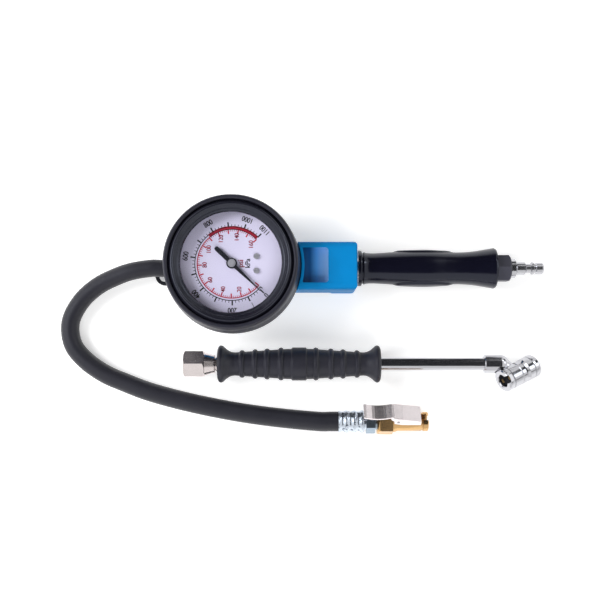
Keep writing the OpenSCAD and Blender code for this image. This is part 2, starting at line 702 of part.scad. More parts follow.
// Back shell: flat foot under the gauge, finger gap and trigger pocket, flat foot at the end
module housing_back() color([0.04, 0.45, 0.72]) difference() {
    linear_extrude(split_z) housing_plan();
    block_shape(fit);
    on_axis(housing_x1 - 10) cylinder(r = tube_r + fit, h = 20);
    on_axis(spine_x0 - 1) cylinder(r = outlet_thread_r + fit, h = 10);
    across(100) rrect([trigger_x + 6.5, -10], [pocket_x1, finger_z], 3);
    translate([trigger_x - knuckle_r - 1, -trigger_w / 2 - side_gap, -1])
        cube([pocket_x1 - trigger_x + knuckle_r + 1, trigger_w + 2 * side_gap, pocket_roof + 1]);
    translate([trigger_x, 0, trigger_z]) across_pin(trigger_pin_r + eps, 20.4);
    translate([valve_x, 0, 0]) cylinder(r = stem_r + 0.7, h = split_z);
    housing_screw_places() translate([0, 0, -1]) cylinder(r = screw_r + fit, h = 30);
    housing_screw_places() translate([0, 0, -1])
        cylinder(r = screw_head_r + 0.2, h = screw_recess + screw_head_t + 1);
    translate([spine_x0 - 1, eye_y - eye_arm_w / 2 - eps, eye_z - eps])
        cube([6 + eps, eye_arm_w + 2 * eps, eye_t + 2 * eps]);
}

module housing_screws() color([0.3, 0.3, 0.32]) housing_screw_places() difference() {
    union() {
        translate([0, 0, screw_recess]) cylinder(r = screw_head_r, h = screw_head_t);
        translate([0, 0, screw_recess + 1]) cylinder(r = screw_r, h = screw_top - screw_recess - 1);
    }
    translate([0, 0, screw_recess - 1]) cylinder(r = 1.4, h = 2, $fn = 6);
}

// ---------- trigger and valve ----------

// Paddle lever: knuckle on the pin, flat arm with finger ridges and a round end
module trigger_lever() color([0.15, 0.15, 0.16]) difference() {
    union() {
        translate([trigger_x, 0, trigger_z]) across_pin(knuckle_r, trigger_w);
        translate([0, 0, lever_top - trigger_t]) linear_extrude(trigger_t) intersection() {
            translate([trigger_x - 1, -trigger_w / 2]) square([trigger_l + 1, trigger_w]);
            translate([trigger_x + trigger_l - 20, 0]) union() {
                circle(20, $fn = 96);
                translate([-60, -20]) square([60, 40]);
            }
        }
    }
    translate([trigger_x, 0, trigger_z]) across_pin(trigger_pin_r + run, 40);
    for (k = [0:4]) translate([trigger_x + 14 + 4.5 * k, 0, lever_top - trigger_t - 0.35])
        across_pin(0.8, 40);
}

module trigger_pin() color("silver") translate([trigger_x, 0, trigger_z]) across_pin(trigger_pin_r, 20);

// Valve stem with its poppet head
module valve_stem() color([0.8, 0.65, 0.35]) translate([valve_x, 0, 0]) {
    stem_z = lever_top + stem_gap;
    translate([0, 0, stem_z]) cylinder(r = stem_r, h = seat_z + seal_t - stem_z + eps);
    translate([0, 0, seat_z + seal_t]) cylinder(r = poppet_r, h = poppet_t);
}

module valve_seal() color([0.1, 0.1, 0.1]) translate([valve_x, 0, seat_z])
    ring(chamber_r - fit, stem_r + 1.1, seal_t);

module valve_spring() color("silver") {
    z0 = seat_z + seal_t + poppet_t;
    translate([valve_x, 0, z0]) coil_spring(2.4, 0.3, 3.5, valve_top - cap_plug_l - z0);
}

// Threaded cap that closes the valve chamber
module valve_cap() color([0.8, 0.65, 0.35]) translate([valve_x, 0, valve_top]) {
    cylinder(r = valve_boss_r - 0.2, h = cap_head_t, $fn = 6);
    translate([0, 0, -cap_plug_l]) cylinder(r = chamber_r - eps, h = cap_plug_l + eps);
}

// ---------- handle and inlet ----------

module handle_tube() color("silver") on_axis(tube_x0) ring(tube_r, 4, tube_x1 - tube_x0);

// Radius of the grip at the share s of its length: smooth blends between its key radii
grip_keys = [[0.1, tube_r + 2.7], [0.5, bulge_r], [0.745, bulge_r - 1.5], [1, flare_r]];
function blend(a, b, t) = a + (b - a) * (1 - cos(180 * t)) / 2;
function grip_blend(s, i) = blend(grip_keys[i][1], grip_keys[i + 1][1],
    (s - grip_keys[i][0]) / (grip_keys[i + 1][0] - grip_keys[i][0]));
function grip_radius(s) = s < 0.5 ? grip_blend(s, 0) : s < 0.745 ? grip_blend(s, 1) :
    bulge_r - 1.5 + (flare_r - bulge_r + 1.5) * pow((s - 0.745) / 0.255, 1.8);

// Contoured grip with a collar at the housing and a flare at the inlet
module handle_grip() color([0.07, 0.07, 0.08]) on_axis(grip_x0) rotate_extrude() {
    inner = tube_r + fit;
    polygon([[inner, 0], [tube_r + 5.1, 0], [tube_r + 5.2, 1.2], [tube_r + 4.9, 2.2],
        [tube_r + 3.4, 2.5], [tube_r + 3.4, 3.2], [tube_r + 4.1, 3.7], [tube_r + 3.4, 5.6],
        for (i = [0:26]) let (s = 0.1 + 0.9 * i / 26) [grip_radius(s), s * (grip_l - 0.8)],
        [flare_r - 0.8, grip_l], [inner, grip_l]]);
}

// Hexagon bushing screwed into the handle tube
module inlet_bushing() color([0.2, 0.2, 0.23]) difference() {
    l = bushing_x1 - tube_x1;
    union() {
        intersection() {
            on_axis(tube_x1) hex_prism(bushing_af, l);
            on_axis(tube_x1) rotate_extrude() polygon([[0, 0], [bushing_af, 0], [bushing_af, l - 2.6],
                [bushing_af / sqrt(3) + 0.2, l - 1.6], [bushing_af / 2 - 0.4, l], [0, l]]);
        }
        on_axis(tube_x1 - 9) cylinder(r = 4 - eps, h = 10);
    }
    on_axis(tube_x1 - 10) cylinder(r = plug_bore, h = 40);
    on_axis(bushing_x1 - 6) cylinder(r = 3.6 + eps, h = 10);
}

// Quick-connect air plug: knurled collar, neck, locking ring and nose
module inlet_plug() color([0.85, 0.85, 0.87]) on_axis(bushing_x1) difference() {
    rotate_extrude() polygon([[0, -5.5], [3.6, -5.5], [3.6, 0], [6.4, 0], [6.6, 0.5], [6.6, collar_l - 0.6],
        [5.6, collar_l], [plug_r, collar_l + 0.6], [plug_r, collar_l + 6], [plug_r - 1.2, collar_l + 7],
        [plug_r - 1.2, collar_l + 10], [plug_r - 0.1, collar_l + 10.6], [plug_r - 0.1, collar_l + 12],
        [plug_r - 1, collar_l + 12.4], [plug_r - 1, collar_l + 13.2], [plug_r - 0.35, collar_l + 13.8],
        [plug_r - 0.35, collar_l + plug_l - 1], [plug_r - 1, collar_l + plug_l], [0, collar_l + plug_l]]);
    translate([0, 0, -7]) cylinder(r = plug_bore, h = 60);
}

// ---------- hose end at the gauge ----------

module outlet_fitting() color([0.7, 0.72, 0.75]) difference() {
    union() {
        on_axis(outlet_hex_x0) rotate([0, 0, 30]) hex_prism(outlet_hex_af, outlet_hex_l);
        on_axis(outlet_hex_x0)
            cylinder(r = outlet_thread_r, h = block_x0 + outlet_thread_l - outlet_hex_x0 - 0.2);
    }
    on_axis(outlet_hex_x0 - 1) cylinder(r = passage_r, h = 60);
}

// Crimped sleeve: three waves along its length
module crimped_sleeve(r, l, bore) rotate_extrude() polygon([[bore, 0], [r - 0.7, 0],
    for (i = [0:24]) let (s = i / 24) [r - 0.45 + 0.45 * cos(360 * 3 * s + 180), 0.6 + s * (l - 1.2)],
    [r - 0.7, l], [bore, l]]);

module inner_ferrule() color([0.68, 0.7, 0.75]) on_axis(outlet_hex_x0 - 0.3 - inner_ferrule_l) {
    crimped_sleeve(inner_ferrule_r, inner_ferrule_l, passage_r);
    translate([0, 0, inner_ferrule_l - eps]) ring(passage_r + 2, passage_r, 0.3 + eps);
}

// Flat steel eye that the tool hangs by
module hanging_eye() color([0.1, 0.1, 0.1]) translate([0, eye_y, eye_z]) difference() {
    union() {
        translate([eye_c, 0, 0]) cylinder(r = eye_r, h = eye_t);
        translate([eye_c, -eye_arm_w / 2, 0]) cube([spine_x0 + 5 - eye_c, eye_arm_w, eye_t]);
    }
    translate([eye_c, 0, -1]) cylinder(r = eye_hole_r, h = 10);
}

// ---------- hose ----------

module hose() color([0.1, 0.1, 0.11]) swept_tube(curve(hose_route, hose_steps), hose_r, hose_sides);

// ---------- clip-on chuck ----------

// Frame of the chuck: its axis along X, +Z towards the clip lever
module on_chuck(x = 0) translate([x, chuck_y, chuck_z]) rotate([0, 90, 0]) children();
module lever_frame() translate([0, chuck_y, chuck_z]) rotate([-chuck_roll, 0, 0]) children();

module hose_ferrule() color([0.8, 0.83, 0.88]) on_chuck(chuck_x) {
    crimped_sleeve(inner_ferrule_r, ferrule_l, passage_r);
    translate([0, 0, ferrule_l - eps]) ring(5.6, passage_r, 1.5 + eps);
}

module hose_nut() color([0.6, 0.66, 0.74]) on_chuck(nut_x) difference() {
    union() {
        rotate([0, 0, 30]) hex_prism(nut_af, nut_l);
        translate([0, 0, nut_l - eps]) cylinder(r = 5.4, h = 1.2 + eps);
        translate([0, 0, nut_l + 1]) cylinder(r = 4, h = 6);
    }
    translate([0, 0, -1]) cylinder(r = passage_r, h = 20);
}

// Brass body: hexagon, taper, barrel with end ring, lug for the lever, bore for the tyre valve
module chuck_body() color([0.8, 0.64, 0.36]) difference() {
    end = mouth_x - hex_x;
    union() {
        intersection() {
            on_chuck(hex_x) rotate([0, 0, 30 + hex_turn]) cylinder(r = hex_ac_r, h = hex_l, $fn = 6);
            on_chuck(hex_x) cylinder(r1 = hex_ac_r - 0.7, r2 = hex_ac_r + 2, h = hex_l);
        }
        on_chuck(hex_x) rotate_extrude() polygon([[0, hex_l - 1], [7.3, hex_l - 1], [7.3, hex_l + 0.4],
            [barrel_r, hex_l + 3.8], [barrel_r, end - 4.6], [barrel_r - 0.5, end - 4.4],
            [barrel_r - 0.5, end - 3.7], [barrel_r + 0.15, end - 3.5], [barrel_r + 0.15, end - 0.5],
            [barrel_r - 0.4, end], [0, end]]);
        lever_frame() translate([pivot_x, 0, pivot_h]) {
            across_pin(lug_r, lug_w);
            translate([-lug_r, -lug_w / 2, 3 - pivot_h]) cube([2 * lug_r, lug_w, pivot_h - 3]);
        }
    }
    on_chuck(mouth_x - mouth_l) cylinder(r = mouth_r, h = mouth_l + 1);
    on_chuck(mouth_x - mouth_l - seat_l) cylinder(r = mouth_r + 0.4, h = seat_l + eps);
    on_chuck(mouth_x - mouth_l - depressor_room) cylinder(r = 2.7, h = depressor_room);
    on_chuck(hex_x - 1) cylinder(r = 4 + eps, h = 8);
    on_chuck(hex_x) cylinder(r = 1.5, h = mouth_x - hex_x - mouth_l);
    lever_frame() translate([pivot_x, 0, pivot_h]) across_pin(chuck_pin_r + eps, 20);
    lever_frame() translate([jaw_x - 1, -jaw_w / 2 - 0.5, 0]) cube([5.2, jaw_w + 1, 20]);
    lever_frame() translate([spring_x, 0, spring_seat_h]) cylinder(r = 2.4, h = 10);
}

// Height of the thumb saddle's top above the chuck's axis
function saddle_h(x) = let (s = (x - lever_x0) / (bend_x - lever_x0)) step_h + 1.6 - 7.2 * s * (1 - s);

// Clip lever: folded sheet channel with a thumb saddle behind the pivot and a hooded jaw in front
module chuck_lever() color([0.78, 0.74, 0.72]) lever_frame() {
    hood_x1 = jaw_x + 2;
    hood_h = pivot_h + 1.6;
    wall_h = pivot_h - 2.6;
    hood_w = lever_w + 1.4;
    saddle_top = [for (i = [0:10]) let (x = lever_x0 + (bend_x - lever_x0) * i / 10) [x, saddle_h(x)]];
    difference() {
        union() {
            across(lever_w) polygon(concat(saddle_top,
                [[bend_x + 1.6, step_h + 0.9], [pivot_x + 3, step_h], [pivot_x + 3, wall_h],
                [pivot_x, wall_h + 0.3], [bend_x + 0.4, step_h - lever_t - 1],
                [bend_x - 0.6, step_h - lever_t + 0.5]],
                [for (i = [10:-1:0]) [saddle_top[i].x, saddle_top[i].y - lever_t]]));
            across(hood_w) polygon([[bend_x + 1.4, step_h + 0.8], [hood_x1, hood_h], [hood_x1, wall_h],
                [pivot_x + 3, wall_h], [pivot_x - 2.4, wall_h + 1.2], [bend_x + 1.4, step_h - lever_t]]);
        }
        // Channel between the side walls, under the top skin
        across(hood_w - 2 * lever_t) polygon([[bend_x + 0.6, 0], [bend_x + 0.6, step_h - lever_t - 0.1],
            [bend_x + 1.8, step_h + 0.9 - lever_t], [hood_x1 - lever_t, hood_h - lever_t],
            [hood_x1 - lever_t, 0]]);
        translate([pivot_x, 0, pivot_h]) across_pin(chuck_pin_r + run, 40);
        rotate([0, 90, 0]) cylinder(r = barrel_r + 0.6, h = 200);
    }
    // Jaw that reaches through the barrel's slot to the valve's thread
    translate([hood_x1 - lever_t, -jaw_w / 2, mouth_r - jaw_gap])
        cube([lever_t, jaw_w, pivot_h - mouth_r]);
}

module chuck_pin() color("silver") lever_frame() translate([pivot_x, 0, pivot_h])
    across_pin(chuck_pin_r, lever_w + 2.4);

module chuck_spring() color("silver") lever_frame()
    translate([spring_x, 0, spring_seat_h]) coil_spring(1.7, 0.3, 3.5, spring_l);

module chuck_seal() color([0.1, 0.1, 0.1]) on_chuck(mouth_x - mouth_l - seat_l)
    ring(mouth_r + 0.4 - eps, 1.9, seat_l);

// Depressor: pin that opens the tyre valve's core, with a flange held by the seal
module chuck_depressor() color([0.8, 0.65, 0.35]) on_chuck(mouth_x - mouth_l) {
    translate([0, 0, -depressor_x]) cylinder(r = 1.2, h = depressor_x - 0.2);
    translate([0, 0, -depressor_x]) cylinder(r = 2.5, h = 1.2);
}

module depressor_spring() color("silver") on_chuck(mouth_x - mouth_l - depressor_room)
    coil_spring(2, 0.25, 2, depressor_room - depressor_x);

// ---------- spare twin chuck ----------

module on_ext(x = 0) translate([x, ext_y, ext_z]) rotate([0, 90, 0]) children();

// Nut end: hexagon with a female thread, cone and short stem
module ext_nut() color([0.75, 0.72, 0.7]) difference() {
    union() {
        intersection() {
            on_ext(ext_x0) hex_prism(ext_nut_af, ext_nut_l);
            on_ext(ext_x0) rotate_extrude() polygon([[0, 0], [ext_nut_af / 2 + 0.1, 0], [ext_nut_r, 1],
                [ext_nut_r, ext_nut_l - 1.2], [ext_nut_af / 2 - 0.3, ext_nut_l], [0, ext_nut_l]]);
        }
        on_ext(ext_x0 + ext_nut_l - eps) rotate_extrude() polygon([[0, 0], [7.8, 0], [6, ext_cone_l],
            [4.6, ext_cone_l + 0.3], [4.6, ext_cone_l + 0.8], [5.3, ext_cone_l + 1.1],
            [5.3, ext_cone_l + ext_stem_l], [0, ext_cone_l + ext_stem_l]]);
    }
    on_ext(ext_x0 - 1) cylinder(r = 5.8, h = 10);
    on_ext(ext_x0) cylinder(r = 2, h = 60);
    on_ext(ext_grip_x - 5) cylinder(r = rod_r + eps, h = 60);
}

module ext_tube() color([0.85, 0.86, 0.88]) on_ext(ext_grip_x - 5) ring(rod_r, 2, rod_x1 - ext_grip_x + 5);

// Ribbed grip: end flanges, rings on a barrel-shaped body and a wide band in the middle
ring_places = [0.086, 0.148, 0.228, 0.302, 0.388, 0.604, 0.696, 0.771, 0.857, 0.912];
function ext_grip_radius(s) = 7.9 + (ext_grip_r - 7.9) * (1 - pow(2 * s - 1, 4));
module ext_grip() color([0.1, 0.1, 0.1]) on_ext(ext_grip_x) difference() {
    union() {
        rotate_extrude() polygon([[0, 0], for (i = [0:20]) [ext_grip_radius(i / 20), i / 20 * ext_grip_l],
            [0, ext_grip_l]]);
        for (s = ring_places) translate([0, 0, s * ext_grip_l]) rotate_extrude() {
            r = ext_grip_radius(s);
            polygon([[0, -1.7], [r, -1.7], [r + 0.9, -1.2], [r + 1.3, -0.4], [r + 1.3, 0.4],
                [r + 0.9, 1.2], [r, 1.7], [0, 1.7]]);
        }
        translate([0, 0, ext_grip_l / 2 - 5]) rotate_extrude() polygon([[0, 0], [ext_grip_r, 0],
            [ext_grip_r + 1, 0.8], [ext_grip_r + 1, 9.2], [ext_grip_r, 10], [0, 10]]);
        for (s = [0, 1]) translate([0, 0, s * ext_grip_l]) mirror([0, 0, s]) rotate_extrude()
            polygon([[0, 0], [flange_r - 1.6, 0], [flange_r, 1.2], [flange_r, 2.6], [flange_r - 1.2, 4],
                [8.6, 5.4], [0, 5.4]]);
    }
    translate([0, 0, -1]) cylinder(r = rod_r + fit, h = ext_grip_l + 2);
}

// Frame of the twin head: its long axis along local X
module head_frame() translate(head_c) rotate([0, 0, head_turn]) rotate([0, head_tilt, 0]) children();
module along_head(x = 0) head_frame() translate([x, 0, 0]) rotate([0, 90, 0]) children();

// Twin head: neck on the rod, cone to a waisted cross-piece bored from both ends
module twin_head() color([0.85, 0.86, 0.88]) difference() {
    body_l = head_l - 2 * cap_l;
    union() {
        on_ext(rod_x1) rotate_extrude() polygon([[0, 0], [neck_r - 0.5, 0], [neck_r, 0.6], [neck_r, neck_l],
            [0, neck_l]]);
        translate([rod_x1 + neck_l, ext_y, ext_z]) sphere(r = neck_r);
        translate([rod_x1 + neck_l, ext_y, ext_z]) rotate([0, 0, -27]) rotate([0, 90, 0])
            cylinder(r1 = neck_r - 0.2, r2 = 3.4, h = 11);
        along_head(-body_l / 2) rotate_extrude() polygon([[0, 0], [head_r, 0], [head_r, body_l * 0.36],
            [head_r - 0.35, body_l * 0.38], [head_r - 0.35, body_l * 0.4], [head_r, body_l * 0.42],
            [head_r, body_l * 0.58], [head_r - 1.5, body_l * 0.68], [head_r, body_l * 0.76],
            [head_r, body_l], [0, body_l]]);
    }
    on_ext(rod_x1 - 1) cylinder(r = 2, h = neck_l + 4);
    along_head(-head_l / 2) cylinder(r = 2.7, h = head_l);
    for (s = [0, 1]) head_end(s) {
        translate([0, 0, seal_x]) cylinder(r = head_bores[s] + seal_pocket, h = head_seal_t);
        translate([0, 0, seal_x]) cylinder(r = head_bores[s], h = 20);
        translate([0, 0, head_l / 2 - cap_l]) cylinder(r = head_r + fit, h = 20);
    }
}

// Frame of one mouth: 0 is the right one, 1 the left one
module head_end(s) head_frame() rotate([0, 0, 180 * s]) rotate([0, 90, 0]) children();

// Screwed end caps that the tyre valve enters
module head_caps() color([0.85, 0.86, 0.88]) for (s = [0, 1]) head_end(s) {
    bore = head_bores[s];
    translate([0, 0, head_l / 2 - cap_l]) rotate_extrude() polygon([[bore, 0], [head_r - 0.5, 0],
        [head_r - 0.5, 0.4], [head_r, 0.5], [head_r, cap_l - 1], [head_r - 1, cap_l],
        [bore + 0.6, cap_l], [bore, cap_l - 0.6]]);
}

module head_seals() color([0.1, 0.1, 0.1]) for (s = [0, 1]) head_end(s) translate([0, 0, seal_x + eps])
    ring(head_bores[s] + seal_pocket - eps, shuttle_r + 0.4, head_seal_t - 2 * eps);

// Shuttle: one double-ended pin that either tyre valve pushes
module head_shuttle() color([0.8, 0.65, 0.35]) {
    tip_x = seal_x + head_seal_t - 0.2;
    along_head(-tip_x) cylinder(r = shuttle_r, h = 2 * tip_x);
    along_head(-1.2) cylinder(r = 2.5, h = 2.4);
}

gauge_boot();
gauge_case();
bezel_ring();
window_lens();
window_gasket();
dial_plate();
dial_screws();
pointer();
pointer_cap();
bourdon_tube();
tube_socket();
movement_back();
movement_front();
movement_screws();
sector_gear();
pinion();
hairspring();
link();
housing_front();
housing_back();
housing_screws();
valve_block();
trigger_lever();
trigger_pin();
valve_stem();
valve_spring();
valve_seal();
valve_cap();
handle_tube();
handle_grip();
inlet_bushing();
inlet_plug();
outlet_fitting();
inner_ferrule();
hanging_eye();
hose();
hose_ferrule();
hose_nut();
chuck_body();
chuck_lever();
chuck_pin();
chuck_spring();
chuck_seal();
chuck_depressor();
depressor_spring();
ext_nut();
ext_tube();
ext_grip();
twin_head();
head_caps();
head_seals();
head_shuttle();
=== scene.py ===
import math

import bmesh
import bpy
from mathutils import Matrix, Vector


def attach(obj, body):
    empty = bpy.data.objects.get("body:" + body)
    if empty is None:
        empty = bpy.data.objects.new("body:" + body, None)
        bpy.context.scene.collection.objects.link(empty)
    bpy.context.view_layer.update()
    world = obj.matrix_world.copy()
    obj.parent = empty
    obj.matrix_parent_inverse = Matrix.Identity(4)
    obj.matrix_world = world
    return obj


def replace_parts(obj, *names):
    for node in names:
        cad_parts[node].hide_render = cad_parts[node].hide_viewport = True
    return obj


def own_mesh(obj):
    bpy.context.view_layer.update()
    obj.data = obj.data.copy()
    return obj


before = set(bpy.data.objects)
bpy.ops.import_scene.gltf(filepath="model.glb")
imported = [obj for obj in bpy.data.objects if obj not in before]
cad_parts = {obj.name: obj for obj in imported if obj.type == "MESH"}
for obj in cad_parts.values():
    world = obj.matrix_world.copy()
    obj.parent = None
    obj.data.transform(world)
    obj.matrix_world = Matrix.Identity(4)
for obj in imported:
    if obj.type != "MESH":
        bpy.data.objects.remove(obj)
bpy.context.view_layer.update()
MM = 0.001

# ---- Camera, floor and lamps ----
# A camera high over the work surface, a white sweep below and two soft boxes. Dark and glowing cards
# stand around and show in reflections only, so that bright metal and gloss black have a form.
CAMERA_RANGE = 0.650
CAMERA_TILT = math.radians(5)
CAMERA_AIM = Vector((0.0442, -0.0202, 0))
FOCAL_PX = 942
FRAME_PX = 600
FLOOR_GLOW, FAR_GAIN, FAR_FROM, FAR_TO = 0.42, 1.75, 0.55, 1.6
SKY_LIGHT, SKY_SEEN = 0.38, 0.6
TOOL_AIM, SPARE_AIM = (0.05, -0.02, 0), (0.19, -0.07, 0)

scene = bpy.context.scene
scene.view_settings.view_transform = "Standard"
camera = bpy.data.objects.new("camera", bpy.data.cameras.new("camera"))
camera.data.sensor_fit = "HORIZONTAL"
camera.data.lens = camera.data.sensor_width * FOCAL_PX / FRAME_PX
camera.data.clip_start = 0.01
camera.rotation_euler = (CAMERA_TILT, 0, 0)
camera.location = CAMERA_AIM + CAMERA_RANGE * Vector((0, -math.sin(CAMERA_TILT), math.cos(CAMERA_TILT)))
scene.collection.objects.link(camera)
scene.camera = camera


class Wire:
    """The output of a shader node. Arithmetic on it adds Math nodes."""

    def __init__(self, finish, socket):
        self.finish = finish
        self.socket = socket

    def math(self, operation, *terms):
        return self.finish.add("Math", {"operation": operation}, dict(enumerate(terms)))

    def __add__(self, other):
        return self.math("ADD", self, other)

    def __mul__(self, other):
        return self.math("MULTIPLY", self, other)

    def __gt__(self, other):
        return self.math("GREATER_THAN", self, other)

    __radd__ = __add__
    __rmul__ = __mul__


class Finish:
    """A surface finish: a material with one Principled shader and what feeds it."""

    def __init__(self, name, tree=None):
        if tree is None:
            self.material = bpy.data.materials.new(name)
            self.material.use_nodes = True
            tree = self.material.node_tree
        self.tree = tree

    def add(self, kind, settings=None, sockets=None, output=0):
        node = self.tree.nodes.new("ShaderNode" + kind)
        for key, value in (settings or {}).items():
            if key == "stops":
                self.set_stops(node.color_ramp.elements, value)
            else:
                setattr(node, key, value)
        for key, value in (sockets or {}).items():
            self.feed(node.inputs[key], value)
        return Wire(self, node.outputs[output])

    def set_stops(self, elements, stops):
        for place in range(2, len(stops)):
            elements.new(0.5)
        for element, (position, colour) in zip(elements, stops):
            element.position = position
            element.color = (*colour, 1)

    def feed(self, socket, value):
        if isinstance(value, Wire):
            self.tree.links.new(value.socket, socket)
        else:
            socket.default_value = value

    def shader(self, **sockets):
        principled = self.tree.nodes["Principled BSDF"]
        for key, value in sockets.items():
            self.feed(principled.inputs[key.replace("_", " ")], value)
        return self

    def spot(self):
        return self.add("TexCoord", output="Object")

    def seen(self):
        """1 on rays from the camera, also by way of a mirror or through glass."""
        direct, mirror, glass = (self.add("LightPath", output=f"Is {ray} Ray")
                                 for ray in ("Camera", "Glossy", "Transmission"))
        return direct + mirror + glass

    def noise(self, grain_mm, detail=2):
        return self.add("TexNoise", {}, {"Vector": self.spot(), "Scale": 1 / (grain_mm * MM),
                                         "Detail": detail})

    def blend(self, share, first, second):
        return self.add("Mix", {"data_type": "RGBA"}, {0: share, 6: first, 7: second}, output=2)

    def bump(self, height, depth_mm, strength=0.6):
        return self.add("Bump", {}, {"Height": height, "Distance": depth_mm * MM, "Strength": strength})


def tone(red, green, blue):
    """A colour given as it is seen on screen, 0 to 255, as the shader's linear values."""
    return tuple((c / 255) ** 2.2 for c in (red, green, blue)) + (1,)


def panel(name, size, place, aim):
    """A flat rectangle that faces a point."""
    shape = bmesh.new()
    bmesh.ops.create_grid(shape, x_segments=1, y_segments=1, size=0.5)
    bmesh.ops.scale(shape, vec=(*size, 1), verts=shape.verts)
    facing = (Vector(aim) - Vector(place)).to_track_quat("Z", "Y").to_matrix()
    bmesh.ops.rotate(shape, matrix=facing, verts=shape.verts)
    bmesh.ops.translate(shape, vec=place, verts=shape.verts)
    mesh = bpy.data.meshes.new(name)
    shape.to_mesh(mesh)
    shape.free()
    piece = bpy.data.objects.new(name, mesh)
    scene.collection.objects.link(piece)
    return piece


def soft_box(name, size, place, aim, watts):
    """A rectangular lamp that faces a point and shows in no reflection."""
    lamp = bpy.data.lights.new(name, "AREA")
    lamp.shape = "RECTANGLE"
    lamp.size, lamp.size_y = size
    lamp.energy = watts
    piece = bpy.data.objects.new(name, lamp)
    piece.location = place
    piece.rotation_euler = (Vector(place) - Vector(aim)).to_track_quat("Z", "Y").to_euler()
    piece.visible_glossy = False
    scene.collection.objects.link(piece)


floor = panel("floor", (8, 8), (0.05, 0, 0), (0.05, 0, 1))
white = Finish("white_sweep")
away = white.add("VectorMath", {"operation": "LENGTH"}, {0: white.spot()}, output="Value")
far_off = white.add("MapRange", {}, {"Value": away, "From Min": FAR_FROM, "From Max": FAR_TO})
white.shader(Base_Color=(0.86, 0.86, 0.86, 1), Roughness=0.9, Specular_IOR_Level=0.0,
             Emission_Color=white.blend(far_off, (1, 1, 1, 1), (FAR_GAIN, FAR_GAIN, FAR_GAIN, 1)),
             Emission_Strength=white.seen() * FLOOR_GLOW)
floor.data.materials.append(white.material)


def card(name, size, place, aim, glow):
    """A flat card that only shows in reflections."""
    piece = panel(name, size, place, aim)
    piece.visible_camera = False
    piece.visible_shadow = False
    piece.visible_diffuse = False
    face = Finish(name)
    face.shader(Base_Color=(0.01, 0.01, 0.012, 1), Roughness=0.9, Specular_IOR_Level=0.0,
                Emission_Color=(0.92, 0.95, 1, 1), Emission_Strength=glow)
    piece.data.materials.append(face.material)


card("overhead_card", (0.85, 1.95), (0.08, 0.18, 1.0), (0.08, 0.18, 0), 0.03)
card("far_card", (0.85, 0.80), (0.08, 1.10, 0.60), (0.08, 0, 0.60), 0.03)
card("right_far_card", (0.60, 0.80), (1.25, 1.00, 0.65), SPARE_AIM, 0.04)
card("lamp_glow", (0.20, 0.20), (0.80, 0.72, 0.80), (0.12, -0.03, 0), 9)
card("left_back_card", (0.42, 0.40), (-0.273, 0.795, 0.229), (0.19, -0.007, 0.015), 0.05)
card("right_low_card", (0.30, 0.10), (1.20, -0.40, 0.38), SPARE_AIM, 0.04)
card("right_glow", (0.55, 0.45), (1.15, 0.28, 0.76), SPARE_AIM, 2.3)
card("left_glow", (0.45, 0.80), (-0.85, 0.10, 0.85), (0.05, 0, 0), 3.2)

world = bpy.data.worlds.new("studio")
world.use_nodes = True
scene.world = world
air = Finish("studio", world.node_tree)
background = world.node_tree.nodes["Background"].inputs
air.feed(background["Color"], (1, 1, 1, 1))
air.feed(background["Strength"], SKY_LIGHT + air.seen() * SKY_SEEN)

soft_box("near_box", (0.9, 0.5), (0.15, -0.75, 0.75), TOOL_AIM, 5.5)
soft_box("left_box", (0.5, 0.7), (-0.75, 0.15, 0.62), TOOL_AIM, 11.0)

# ---- Hose ----
# A black rubber air hose with a fabric ply inside, cut to length and crimped at both ends. It
# leaves the fitting behind the gauge, turns back on the table and ends in the clip-on chuck.
HOSE_RADIUS = 6.3
HOSE_ROUTE = [(-45, 0, 14.5), (-51, 0, 14.5), (-57, 0, 14.5), (-70, -2, 13.5), (-82, -6, 11.5),
              (-94, -12, 9.5), (-105, -22, 8), (-112, -36, 7), (-110, -51, 7), (-101, -62, 7),
              (-88, -71, 7), (-74, -77, 7), (-58, -83, 7), (-36, -89, 7), (-13, -94, 7),
              (10, -98, 7), (34, -101, 7.6), (57, -103, 9.2), (64, -103, 9.2), (70, -103, 9.2)]
HOSE_STEPS = 6
HOSE_THIN, HOSE_FULL = 0.93, 1.06


def smooth_route(points, steps):
    """Points of a Catmull-Rom curve through the route."""
    route = [Vector(p) for p in points]
    route = [route[0], *route, route[-1]]
    line = []
    for a, b, c, d in zip(route, route[1:], route[2:], route[3:]):
        for step in range(steps):
            t = step / steps
            line.append(0.5 * (2 * b + (c - a) * t + (2 * a - 5 * b + 4 * c - d) * t ** 2
                               + (3 * b - a - 3 * c + d) * t ** 3))
    return line + [route[-1]]


def rubber(name, colour, rough, grain_mm=0.35, depth_mm=0.02):
    """Moulded rubber: matt skin with a fine grain and a grey bloom in places."""
    finish = Finish(name)
    grain = finish.noise(grain_mm, 3)
    bloom = finish.noise(14, 2)
    pale = tuple(min(1, c * 1.7 + 0.004) for c in colour[:3]) + (1,)
    finish.shader(Base_Color=finish.blend(bloom * 0.7, colour, pale),
                  Roughness=rough + 0.12 * grain + 0.1 * bloom,
                  Normal=finish.bump(grain, depth_mm), Specular_IOR_Level=0.5)
    return finish.material


